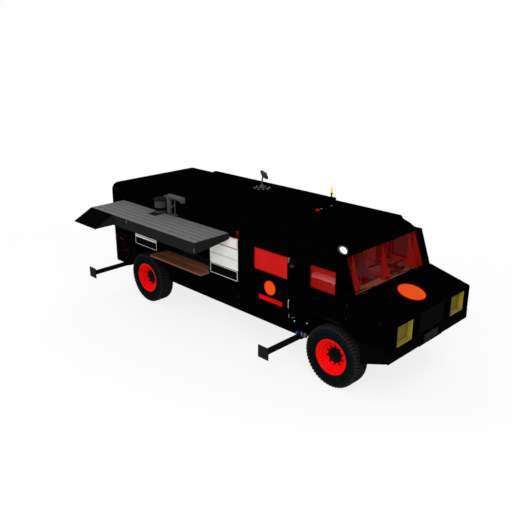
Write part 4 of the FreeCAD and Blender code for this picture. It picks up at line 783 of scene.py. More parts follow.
class TRUCK_OT_stage(bpy.types.Operator):
    """Pale floor, plain soft light and the camera"""
    bl_idname = "truck.stage"
    bl_label = "Stage"

    def execute(self, context):
        self.floor()
        self.world(context)
        self.lamps()
        self.camera(context)
        context.scene.view_settings.view_transform = "Standard"
        return {"FINISHED"}

    def floor(self):
        finish = Finish("floor_pale")
        grain = finish.noise(0.6, 2.0)
        pale = finish.blend(grain, (0.86, 0.86, 0.86), (0.90, 0.90, 0.90))
        lit_floor = finish.node("ShaderNodeBsdfDiffuse", None, {"Color": pale})
        glow = finish.node("ShaderNodeEmission", None, {"Color": (1, 1, 1), "Strength": 1.0})
        x, y, _ = finish.axes()
        away = (x * x + y * y) ** 0.5
        seen = white_ray(finish) * (finish.ramp(away, 6.0, 13.0) * 0.18 + 0.82)
        finish.node_output(finish.node("ShaderNodeMixShader", None, [seen, lit_floor, glow]))
        deselect()
        bpy.ops.mesh.primitive_plane_add(size=160, location=(0, 0, 0))
        ground = bpy.context.object
        ground.name = "floor"
        ground.data.materials.append(finish.material)

    def world(self, context):
        world = bpy.data.worlds.new("soft_room")
        world.use_nodes = True
        context.scene.world = world
        finish = Finish(world=world)
        room = finish.node("ShaderNodeBackground", None,
                           {"Color": (1.0, 1.0, 1.0), "Strength": 0.80})
        white = finish.node("ShaderNodeBackground", None, {"Color": (1, 1, 1), "Strength": 1.0})
        mixed = finish.node("ShaderNodeMixShader", None, [white_ray(finish), room, white])
        out = finish.tree.nodes.new("ShaderNodeOutputWorld")
        finish.tree.links.new(mixed.socket, out.inputs["Surface"])

    def lamps(self):
        """A large key above the right front corner, two fills, and a small lamp for gloss."""
        aim = Vector((1.5, 0, 1.2))
        for name, spot, size, power in (("key", (7.5, -7.0, 9.5), 6.0, 560.0),
                                        ("fill", (-6.0, -6.0, 6.5), 5.0, 160.0),
                                        ("back", (-4.0, 8.0, 8.0), 6.0, 220.0)):
            self.lamp(name, Vector(spot), aim, size, power)
        # Only gloss shows this one: the highlight on the corner of the roof.
        glint = self.lamp("glint", GLINT_PLACE, ORIGIN + GLINT_ON, 0.55, 1500.0)
        glint.data.shape = "DISK"
        glint.visible_diffuse = False

    def lamp(self, name, spot, aim, size, power):
        deselect()
        bpy.ops.object.light_add(type="AREA", location=spot)
        lamp = bpy.context.object
        lamp.name = name
        lamp.data.size = size
        lamp.data.energy = power
        lamp.rotation_euler = facing(aim - spot)
        return lamp

    def camera(self, context):
        """Three-quarter view on the right front corner from above."""
        spot = ORIGIN + CAMERA_PLACE
        heading, dip = math.radians(134.97), math.radians(19.63)
        look = Vector((math.cos(heading) * math.cos(dip), math.sin(heading) * math.cos(dip),
                       -math.sin(dip)))
        bpy.ops.object.camera_add(location=spot, rotation=facing(look))
        camera = bpy.context.object
        camera.name = "three_quarter_view"
        camera.data.sensor_width = 36.0
        camera.data.lens = 45.30
        camera.data.clip_end = 300
        context.scene.camera = camera


def facing(way):
    """The turn of a lamp or camera that faces a way."""
    return way.to_track_quat("-Z", "Y").to_euler()


def white_ray(finish):
    """1 where a ray comes from the camera, a mirror-like surface or clear glass."""
    path = finish.tree.nodes.new("ShaderNodeLightPath")
    camera, glossy, through = (Signal(finish, path.outputs[name])
                               for name in ("Is Camera Ray", "Is Glossy Ray",
                                            "Is Transmission Ray"))
    return finish.maths("MINIMUM", camera + glossy + through, 1.0)


# ------------------------------------------------------------------ body and chassis

EASED = {"body": ["right_wall", "left_wall", "rear_wall", "roof_shell", "fenders", "front_fascia",
                  "side_door", "right_cab_door", "left_cab_door", "rear_door", "hood", "roof_hatch",
                  "roof_fittings"], "crown": ["cab_frame"], "rear_panel": ["locker_door"],
         "chassis": ["chassis_frame", "stabiliser_tubes", "floor_bearers", "wheel_boxes",
                     "front_axle", "rear_axle", "right_knuckle", "left_knuckle", "rear_right_leg",
                     "front_right_leg", "rear_left_leg", "front_left_leg", "cabin_floor"],
         "iron": ["engine_block"], "lamp": ["headlight_trays"], "skirt": ["awning"],
         "flue": ["roof_stacks"], "dark_steel": ["awning_brackets"], "equipment": ["galley_units"]}
PANES = {"glazing": "screen", "side_door_glass": "glass", "right_cab_glass": "cab_glass",
         "left_cab_glass": "far_glass"}


def domes(places, radius, axis, height=0.35):
    """Low round rivet or bolt heads, flattened along one axis."""
    squash = [height if abs(part) > 0.5 else 1 for part in axis]
    head = globe((0, 0, 0), radius, squash, 12)
    return joined(along(head, places))


def places_along(start, end, pitch, fixed):
    """Evenly spaced places along X at a fixed (y, z)."""
    count = max(2, round((end - start) / pitch) + 1)
    return [(start + (end - start) * i / (count - 1), *fixed) for i in range(count)]


class TRUCK_OT_panels(bpy.types.Operator):
    """Painted panels, axles and glass from the CAD shapes, with rounded edges"""
    bl_idname = "truck.panels"
    bl_label = "Panels"

    def execute(self, context):
        edge = context.scene.truck_sizes.edge
        for finish, nodes in EASED.items():
            for node in nodes:
                piece = eased(node, finish, edge)
                if node == "roof_fittings":
                    self.clear_dish(piece)
        for node, finish in PANES.items():
            eased(node, finish, 0.0005, 1)
        return {"FINISHED"}

    def clear_dish(self, piece):
        """Takes the plain dish out of the copied roof fittings, where dish_cup stands."""
        low = ORIGIN + Vector((1.35, 0.45, ROOF - 0.02))
        high = ORIGIN + Vector((1.90, 0.965, ROOF + 1.0))
        with editing(piece, "VERT"):
            pick(piece, lambda vertex: all(a < b < c for a, b, c in zip(low, vertex.co, high)),
                 "verts")
            bpy.ops.mesh.delete(type="VERT")


class TRUCK_OT_seams(bpy.types.Operator):
    """Sealing beads over the roof and walls, rivets, and the creases of the nose"""
    bl_idname = "truck.seams"
    bl_label = "Seams and rivets"

    def execute(self, context):
        sizes = context.scene.truck_sizes
        bead, rivet = sizes.seam, sizes.rivet
        beads = []
        foot = ROOF_JOINT + 0.004
        for x in ROOF_SEAMS:
            beads.append(handle((x, -HALF, foot), (x, HALF, foot), Z * (ROOF - foot), bead,
                                ROOF_ROLL, 2))
        for x in WALL_SEAMS:
            for side in (-1, 1):
                beads.append(pipe([(x, side * HALF, FLOOR), (x, side * HALF, KNEE_TOP),
                                   (x, side * SKIRT_HALF, KNEE_LOW),
                                   (x, side * SKIRT_HALF, SKIRT_LOW + 0.004)], bead, 0.02, 2))
        for x in (0.25, 1.97, 3.24, 4.49):
            beads.append(pipe([(x, HALF, 1.25), (x, HALF, ROOF_JOINT - 0.01)], bead, 0, 2))
        # the joint behind the cab door on the right side, and the short one below its window
        beads.append(pipe([(4.49, -HALF, 1.26), (4.49, -HALF, ROOF_JOINT - 0.008)], bead, 0, 2))
        beads.append(pipe([(4.49, -HALF, 1.49), (4.69, -HALF, 1.49)], 0.003, 0, 2))
        finished(beads, "seam_beads", "seal")

        rivets = []
        for side in (-1, 1):
            rivets += places_along(-1.10, 4.62, 0.143, (side * HALF, ROOF_JOINT + 0.022))
            rivets += places_along(0.80, 2.93, 0.142, (side * HALF, 1.165))
            rivets += [(-1.13, side * HALF, 1.20 + 0.13 * i) for i in range(9)]
        finished(domes(rivets, rivet, Y), "wall_rivets", "body")
        # two rows along each seam of the roof, clear of the rail box
        across = [y for y in (-1.0 + 0.125 * i for i in range(17)) if not 0.9 < y < 1.11]
        rows = [(x + step, y, ROOF) for x in ROOF_SEAMS for step in (-0.032, 0.032) for y in across]
        finished(domes(rows, rivet * 0.85, Z), "roof_rivets", "body")
        self.nose_lines()
        return {"FINISHED"}

    def nose_lines(self):
        """Creases pressed in the sides of the nose, and the lighter bumper band."""
        creases = []
        front = NOSE - 0.062
        for side in (-1, 1):
            for height, start in ((1.47, 5.57), (1.27, 5.40)):
                creases.append(pipe([(start, side * HALF, height), (front, side * HALF, height)],
                                    0.0035, 0, 2))
        finished(creases, "nose_creases", "seal")
        bumper = [block((NOSE - 0.052, -HALF - 0.004, 0.868), (NOSE + 0.007, HALF + 0.004, 1.068),
                        0.014, 3)]
        for side in (-1, 1):
            face = side * (HALF + 0.004)
            bumper.append(slab([(5.874, face, 0.705), (5.874, face, 1.068),
                                (front - 0.002, face, 1.068), (front - 0.002, face, 0.868)],
                               (0, -side * 0.012, 0), 0.004))
        bumper.append(block((NOSE - 0.02, -0.36, 0.862), (NOSE + 0.012, 0.36, 0.880), 0.004))
        finished(bumper, "bumper_band", "bumper")
        spots = [(NOSE + 0.007, side * y, z) for side in (-1, 1) for y in (0.42, 1.16)
                 for z in (0.92, 1.02)]
        finished(domes(spots, 0.008, X), "bumper_bolts", "bumper")


# ------------------------------------------------------------------ wheels

class TRUCK_OT_wheels(bpy.types.Operator):
    """Deep-dished rims with nuts and domed hubs, and tyres with blocky treads"""
    bl_idname = "truck.wheels"
    bl_label = "Wheels"

    def execute(self, context):
        sizes = context.scene.truck_sizes
        # part: its master, finish and shading angle
        parts = {
            "rim": (self.rim(), "rim", 28),
            "hub": (self.hub(), "hub", 40),
            "nuts": (self.nuts(sizes.wheel_nuts), "nut", 30),
            "carcass": (self.carcass(), "tread", 30),
            "sidewall": (self.sidewall(), "sidewall", 30),
            "blocks": (self.blocks(sizes.tread_blocks), "tread_block", 30),
            "valve": (self.valve(), "trim", 40),
        }
        for wheel, x, side in WHEELS:
            turn = Matrix.Rotation(math.pi, 4, "Z") if side > 0 else Matrix.Identity(4)
            hub_place = Vector((x, side * (HALF - TYRE_HALF), HUB_HEIGHT))
            for part, (master, finish, angle) in parts.items():
                replaces = {"rim": [f"{wheel}_rim"], "carcass": [f"{wheel}_tyre"]}.get(part, [])
                piece = copy_of(master, hub_place, turn)
                finished(piece, f"{wheel}_{part}", finish, f"{wheel}_wheel", replaces=replaces,
                         angle=angle)
        for master, *_ in parts.values():
            only(master)
            bpy.ops.object.delete()
        return {"FINISHED"}

    def turned(self, profile, steps=96):
        """A profile of (outward distance, radius) turned about the wheel's axis."""
        return lathe(profile, (0, 0, 0), -Y, Z, steps)

    def rim(self):
        """Lip, well and dished face; front and back are given by their depth below the lip."""
        front = ((-0.128, -0.036), (0.128, -0.036), (0.134, -0.002), (0.142, 0.003),
                 (0.150, 0.002), (0.155, -0.006), (0.152, -0.018), (0.141, -0.030),
                 (0.128, -0.041), (0.100, -0.046), (0.094, -0.052), (0.090, -0.072),
                 (0.084, -0.078), (0.054, -0.084), (0.048, -0.090), (0.044, -0.104),
                 (0.038, -0.109), (0.026, -0.113), (0.022, -0.118))
        middle = [(0.020, 0.150), (0.026, 0.132), (0.000, 0.120), (-0.004, 0.200)]
        back = ((-0.030, -0.060), (-0.126, -0.050), (-0.142, -0.030), (-0.153, -0.012),
                (-0.150, 0), (-0.134, -0.002), (-0.128, -0.036))
        front, back = ([(out, RIM_RADIUS + step) for out, step in part] for part in (front, back))
        return self.turned(front + middle + back)

    def hub(self):
        """Domed cap with a collar and star-like ridges."""
        dome = self.turned([(0.018, 0.144), (0.034, 0.142), (0.038, 0.134), (0.050, 0.126),
                            (0.060, 0.104), (0.071, 0.074), (0.078, 0.050), (0.080, 0.047),
                            (0.088, 0.045), (0.090, 0.038), (0.090, 0.0005)], 64)
        ridge = pipe([(0, -0.037, 0.134), (0, -0.050, 0.124), (0, -0.0605, 0.103),
                      (0, -0.0715, 0.073), (0, -0.079, 0.050)], 0.0055, 0, 2)
        return joined([dome] + round_axis(ridge, 8, (0, 0, 0), Y))

    def nuts(self, count):
        """Washer, nut and stud, with their copies round the hub."""
        # near and far end outwards, radius, sides and rounding
        stack = ((0.018, 0.025, 0.0170, 20, 0.0015), (0.024, 0.040, 0.0130, 6, 0.002),
                 (0.036, 0.050, 0.0065, 12, 0.0015))
        parts = [rod((0, -near, NUT_CIRCLE), (0, -far, NUT_CIRCLE), *shape)
                 for near, far, *shape in stack]
        return joined(round_axis(joined(parts), count, (0, 0, 0), Y))

    def carcass(self):
        base, half = TYRE_RADIUS - 0.016, TYRE_HALF
        flank = [(half - 0.030, RIM_RADIUS - 0.020), (half - 0.020, RIM_RADIUS + 0.006),
                 (half - 0.010, RIM_RADIUS + 0.030), (half - 0.003, RIM_RADIUS + 0.075),
                 (half, 0.440), (half, 0.455), (half - 0.003, 0.462), (half - 0.003, 0.488),
                 (half - 0.006, 0.494), (half - 0.007, 0.514), (half - 0.016, base - 0.010),
                 (half - 0.030, base)]
        ribs = []
        for middle in (0.096, 0.032):
            ribs += [(middle + 0.007, base), (middle + 0.005, base - 0.007),
                     (middle - 0.005, base - 0.007), (middle - 0.007, base)]
        crown = ribs + [(-t, r) for t, r in reversed(ribs)]
        back = [(-t, r) for t, r in reversed(flank)]
        return self.turned(flank + crown + back + [flank[0]], 120)

    def sidewall(self):
        """Flat moulded ring on each wall, with fine lines round it."""
        rings = []
        for way in (1, -1):
            face = TYRE_HALF + 0.0005
            profile = [(face - 0.010, RIM_RADIUS + 0.028), (face - 0.0065, RIM_RADIUS + 0.034),
                       (face - 0.003, RIM_RADIUS + 0.060), (face - 0.0005, RIM_RADIUS + 0.064),
                       (face - 0.0025, RIM_RADIUS + 0.068), (face + 0.0005, 0.424),
                       (face + 0.003, 0.428), (face + 0.0005, 0.432), (face + 0.001, 0.450),
                       (face - 0.002, 0.4535)]
            rings.append(self.turned([(way * t, r) for t, r in profile], 120))
        return joined(rings)

    def blocks(self, count):
        """One pitch of tread blocks, then its copies round the tyre."""
        top, low = TYRE_RADIUS, TYRE_RADIUS - 0.022
        pitch = math.tau * top / count
        rows = [(-0.064, 0.050, 0.30), (0.0, 0.050, 0.0), (0.064, 0.050, 0.30)]
        made = []
        for t, width, stagger in rows:
            start = stagger * pitch - pitch * 0.39
            made.append(block((start, t - width / 2, low),
                              (start + pitch * 0.78, t + width / 2, top), 0.003, 1))
        for way in (-1, 1):
            outline = [(0, way * 0.104, low), (0, way * 0.104, top),
                       (0, way * (TYRE_HALF - 0.020), top - 0.002),
                       (0, way * (TYRE_HALF - 0.004), top - 0.018),
                       (0, way * (TYRE_HALF + 0.001), top - 0.052),
                       (0, way * (TYRE_HALF - 0.012), top - 0.056)]
            shoulder = slab(outline, (pitch * 0.62, 0, 0), 0.003, 1)
            shoulder.data.transform(Matrix.Translation((-pitch * 0.31, 0, 0)))
            made.append(shoulder)
        return joined(round_axis(joined(made), count, (0, 0, 0), Y))

    def valve(self):
        stem = rod((0, -0.086, 0.245), (0, -0.122, 0.258), 0.0045, 12, 0.001)
        cap = rod((0, -0.118, 0.2565), (0, -0.134, 0.262), 0.0062, 12, 0.0015)
        valve = joined([stem, cap])
        valve.data.transform(about((0, 0, 0), Y, 30))
        return valve


# ------------------------------------------------------------------ chassis details

class TRUCK_OT_running_gear(bpy.types.Operator):
    """Springs, U-bolts, dampers, wheel housings, foot plates, exhaust and fuel tank"""
    bl_idname = "truck.running_gear"
    bl_label = "Running gear"

    def execute(self, context):
        leaves, bolts = [], []
        for x in (0, WHEELBASE):
            for side in (-1, 1):
                y = side * SPRING_Y
                # each leaf: half its length, its lower and its upper face
                for half, low, high in ((0.522, 0.6385, 0.6495), (0.45, 0.6265, 0.6365),
                                        (0.36, 0.6145, 0.6245), (0.27, 0.6025, 0.6125),
                                        (0.18, 0.590, 0.6005)):
                    leaves.append(block((x - half, y - 0.033, low), (x + half, y + 0.033, high),
                                        0.002, 1))
                for step in (-0.075, 0.075):
                    bolts.append(handle((x + step, y - side * 0.040, 0.520),
                                        (x + step, y + side * 0.040, 0.520), Z * 0.144, 0.008,
                                        0.012, 2))
                bolts.append(rod((x + 0.12, side * 0.50, 0.50), (x + 0.22, side * 0.48, 0.84),
                                 0.024, 20, 0.003))
                bolts.append(rod((x + 0.17, side * 0.49, 0.67), (x + 0.22, side * 0.48, 0.84),
                                 0.030, 20, 0.003))
        finished(leaves, "spring_leaves", "chassis")
        finished(bolts, "spring_bolts_and_dampers", "dark_steel")
        self.rail_bolts()
        self.housings()
        self.feet()
        self.tail_pipe()
        return {"FINISHED"}

    def rail_bolts(self):
        """Rows of bolts along the outside of the chassis rails."""
        spots = [(x, side * 0.471, z) for side in (-1, 1) for z in (0.76, 0.86)
                 for x, _, _ in places_along(-0.95, 4.40, 0.42, (0, 0))]
        finished(domes(spots, 0.012, Y), "rail_bolts", "dark_steel")

    def housings(self):
        """Pressed sheets beside the front wheels, and plates that close the arches."""
        sheets = []
        for side in (-1, 1):
            y = side * 0.550
            sheets.append(block((4.56, y - 0.003, 0.735), (5.93, y + 0.003, 1.198), 0.002))
            rib = block((4.62, y - 0.007, 0.76), (4.66, y + 0.007, 1.17), 0.004)
            sheets += along(rib, [(0.30 * i, 0, 0) for i in range(5)])
            # closing plates: x, reach from the centre line, foot and head
            for x, reach, foot, head in ((4.551, 1.044, 0.66, 1.190), (0.634, 1.045, 0.64, 0.898),
                                         (-0.634, 1.198, 0.702, 0.898)):
                near, far = sorted((side * 0.473, side * reach))
                sheets.append(block((x - 0.003, near, foot), (x + 0.003, far, head), 0.002))
        finished(sheets, "wheel_housings", "body")

    def feet(self):
        """Square foot plates with a pad and four bolts, and the stops along the beams."""
        for leg in ("rear_right_leg", "front_right_leg", "rear_left_leg", "front_left_leg"):
            low, high = span(leg)
            side = -1 if "right" in leg else 1
            x = (low.x + high.x) / 2
            face = low.y if side < 0 else high.y
            z = (low.z + high.z) / 2
            near, far = sorted((face - side * 0.016, face + side * 0.004))
            inner, outer = sorted((face, face + side * 0.008))
            plate = [block((low.x, near, low.z), (high.x, far, high.z), 0.006, 3),
                     block((x - 0.060, inner, z - 0.060), (x + 0.060, outer, z + 0.060), 0.003)]
            finished(plate, f"{leg}_plate", "plate_grey", body_of(leg))
            spots = [(x + i * 0.092, face + side * 0.004, z + j * 0.088) for i in (-1, 1)
                     for j in (-1, 1)]
            finished(domes(spots, 0.010, Y), f"{leg}_bolts", "dark_steel", body_of(leg))
            holes = [(x, face - side * (0.18 + 0.12 * i), 0.6655) for i in range(5)]
            finished(domes(holes, 0.011, Z), f"{leg}_stops", "dark_steel", body_of(leg))

    def tail_pipe(self):
        """Exhaust with its silencer, hung beside the left rail, and the fuel tank."""
        y, z = 0.72, 0.73
        silencer = rod((2.05, y, z), (2.85, y, z), 0.11, 40, 0.02)
        run = pipe([(4.52, 0.52, 0.745), (4.2, y, z), (1.15, y, z), (0.95, 0.90, 0.70),
                    (0.86, 1.06, 0.67)], 0.032, 0.06, 4)
        straps = [ring((x, y, z), X, 0.114, 0.006, 40, 6) for x in (2.2, 2.7)]
        hangers = [rod((x, y, 0.80), (x, y, 0.90), 0.008, 10) for x in (2.2, 2.7)]
        finished([silencer, run] + straps + hangers, "exhaust", "iron")
        y, z = -0.78, 0.70
        tank = rod((1.15, y, z), (1.80, y, z), 0.15, 48, 0.02)
        bands = [ring((x, y, z), X, 0.154, 0.007, 48, 6) for x in (1.30, 1.65)]
        brackets = [block((x - 0.02, -0.66, 0.72), (x + 0.02, -0.465, 0.78), 0.004)
                    for x in (1.30, 1.65)]
        finished([tank] + bands + brackets, "fuel_tank", "dark_steel")


# ------------------------------------------------------------------ nose, windows and doors

HOOD_BACK = Vector((5.564, 0, 1.7135))
HOOD_FRONT = Vector((NOSE, 0, 1.504))
HOOD_RUN = (HOOD_FRONT - HOOD_BACK).normalized()
HOOD_UP = Vector((-HOOD_RUN.z, 0, HOOD_RUN.x))


def on_hood(x, y, proud=0.0):
    """A point on the sloping hood, or above it."""
    share = (x - HOOD_BACK.x) / (HOOD_FRONT.x - HOOD_BACK.x)
    return HOOD_BACK.lerp(HOOD_FRONT, share) + Vector((0, y, 0)) + HOOD_UP * proud


def badge(middle, up, radius, name, body, flat=0.004):
    """A plain enamelled disc inside a thin ring."""
    middle, up = Vector(middle), Vector(up)
    finished(rod(middle - up * 0.002, middle + up * flat, radius, 72, 0.0015), f"{name}_disc",
             "badge", body)
    finished(ring(middle + up * flat * 0.7, up, radius, 0.0055, 96, 10), f"{name}_ring", "stripe",
             body)


class TRUCK_OT_nose(bpy.types.Operator):
    """Grille, bezels of the lamp trays, blank plate and the hood's trim"""
    bl_idname = "truck.nose"
    bl_label = "Nose"

    def execute(self, context):
        self.grille()
        self.lamps()
        self.plate()
        self.hood()
        return {"FINISHED"}

    def grille(self):
        """Back sheet, square frame, upright slats and the bar across them."""
        low, high = span("grille")
        face = NOSE - 0.004
        bars = [block((low.x, low.y, low.z), (low.x + 0.006, high.y, high.z), 0.001)]
        frame_bar = 0.036
        for y0, y1, z0, z1 in ((low.y, high.y, high.z - frame_bar, high.z),
                               (low.y, high.y, low.z, low.z + frame_bar),
                               (low.y, low.y + frame_bar, low.z, high.z),
                               (high.y - frame_bar, high.y, low.z, high.z)):
            bars.append(block((low.x, y0, z0), (face, y1, z1), 0.004))
        back, foot, half, count = low.x + 0.004, low.z + 0.03, 0.0065, 21
        slat = slab([(back, -half, foot), (face - 0.010, -half, foot), (face - 0.004, 0, foot),
                     (face - 0.010, half, foot), (back, half, foot)],
                    Z * (high.z - low.z - 0.06), 0.0015, 1)
        step = (high.y - low.y - 2 * frame_bar) / (count + 1)
        bars += along(slat, [(0, low.y + frame_bar + step * (i + 1), 0) for i in range(count)])
        bars.append(block((back, low.y + 0.02, 1.276), (face - 0.012, high.y - 0.02, 1.288),
                          0.003))
        finished(bars, "grille_slats", "slat", replaces=["grille"])
        spots = [(NOSE, side * y, z) for side in (-1, 1) for z in (1.088, 1.476)
                 for y in (0.362, 0.045)]
        finished(domes(spots, 0.008, X), "grille_bolts", "dark_steel")

    def lamps(self):
        """Black bezels and small clips round the open trays."""
        back = span("headlight_trays")[0].x + 0.014
        bezels, clips = [], []
        inner, outer, low, high = 0.600, 1.060, 1.085, 1.462
        for side in (-1, 1):
            bezels.append(border("X", NOSE + 0.001, (side * inner, low), (side * outer, high),
                                 0.007, 0.012))
            clips += [(back, side * y, z) for z in (low + 0.05, high - 0.05)
                      for y in (inner + 0.03, outer - 0.03)]
        finished(bezels, "lamp_bezels", "seal")
        finished(domes(clips, 0.010, X), "lamp_clips", "lamp")

    def plate(self):
        base = NOSE + 0.006
        plate = block((base, -0.226, 0.886), (base + 0.006, 0.226, 1.040), 0.002)
        rim = border("X", base + 0.006, (-0.219, 0.893), (0.219, 1.033), 0.0028, 0.010, 2)
        finished([plate, rim], "blank_plate", "plate_grey")
        finished(domes([(base + 0.006, y, 0.963) for y in (-0.17, 0.17)], 0.008, X), "plate_bolts",
                 "dark_steel")

    def hood(self):
        """Badge, folds, lip, hinges and latches of the hood."""
        badge(on_hood(5.97, 0, 0.002), HOOD_UP, 0.245, "hood", "hood_lid")
        folds = [pipe([on_hood(5.60, y), on_hood(6.37, y)], 0.0045, 0, 2) for y in (-0.62, 0.62)]
        lip = pipe([on_hood(6.398, -1.246, -0.006), on_hood(6.398, 1.246, -0.006)], 0.006)
        finished(folds + [lip], "hood_folds", "body", "hood_lid")
        hinges = [rod((5.572, side * 0.80 - 0.06, 1.712), (5.572, side * 0.80 + 0.06, 1.712), 0.010,
                      16, 0.002) for side in (-1, 1)]
        finished(hinges, "hood_hinges", "dark_steel", "hood_lid")
        latches = []
        for side in (-1, 1):
            face = side * (HALF + 0.003)
            latches.append(block((6.18, face - 0.004, 1.495), (6.23, face + 0.004, 1.545), 0.003))
            latches.append(rod((6.205, face, 1.545), (6.205, face, 1.560), 0.006, 12, 0.001))
        finished(latches, "hood_latches", "trim")


class TRUCK_OT_windows(bpy.types.Operator):
    """Rubber seals round every pane, and the windscreen's wipers"""
    bl_idname = "truck.windows"
    bl_label = "Window seals"

    def execute(self, context):
        for node in ("side_door_glass", "right_cab_glass", "left_cab_glass"):
            self.seal(node, body_of(node))
        self.left_window()
        self.screen()
        return {"FINISHED"}

    def seal(self, node, body):
        low, high = span(node)
        side = -1 if low.y < 0 else 1
        face = side * (HALF - 0.004)
        bead = border("Y", face, (low.x, low.z), (high.x, high.z), 0.0085, 0.022)
        finished(bead, f"{node}_seal", "seal", body)

    def left_window(self):
        rear, front, low, high = 3.402, 4.242, 1.695, 2.125
        bead = border("Y", HALF - 0.004, (rear, low), (front, high), 0.0085, 0.022)
        finished(bead, "left_window_seal", "seal")
        film = block((rear, HALF - 0.018, low), (front, HALF - 0.0165, high), 0.0005, 1)
        finished(film, "left_window_film", "glass")

    def screen(self):
        """Seal of the windscreen, with two wipers parked along its foot."""
        foot, head = Vector((5.564, 0, 1.722)), Vector((5.334, 0, 2.350))
        out = Vector((head.z - foot.z, 0, foot.x - head.x)).normalized() * 0.004
        foot, head = foot + out, head + out
        half = 1.054
        loop = [foot - Y * half, foot + Y * half, head + Y * half, head - Y * half]
        finished(pipe(loop, 0.010, 0.03, closed=True), "windscreen_seal", "seal")
        wipers = []
        for pivot, reach in ((-0.55, -0.46), (0.62, -0.52)):
            base = foot + Y * pivot + out * 5 + (head - foot) * 0.05
            tip = base + Y * reach + (head - foot) * 0.055
            wipers.append(rod(base - out * 6, base + out * 2, 0.013, 16, 0.002))
            wipers.append(pipe([base, base.lerp(tip, 0.5) + out * 2, tip], 0.0055, 0.05))
            wipers.append(rod(tip + Y * 0.26 - out * 3, tip - Y * 0.26 - out * 3, 0.0065, 8))
        finished(wipers, "wipers", "trim")


def on_right(x, z, out, edge=0.003, segments=2, sunk=0.002):
    """A block on the right side, from its ends in X and Z and how far it stands out."""
    return block((x[0], -HALF - out, z[0]), (x[1], -HALF + sunk, z[1]), edge, segments)


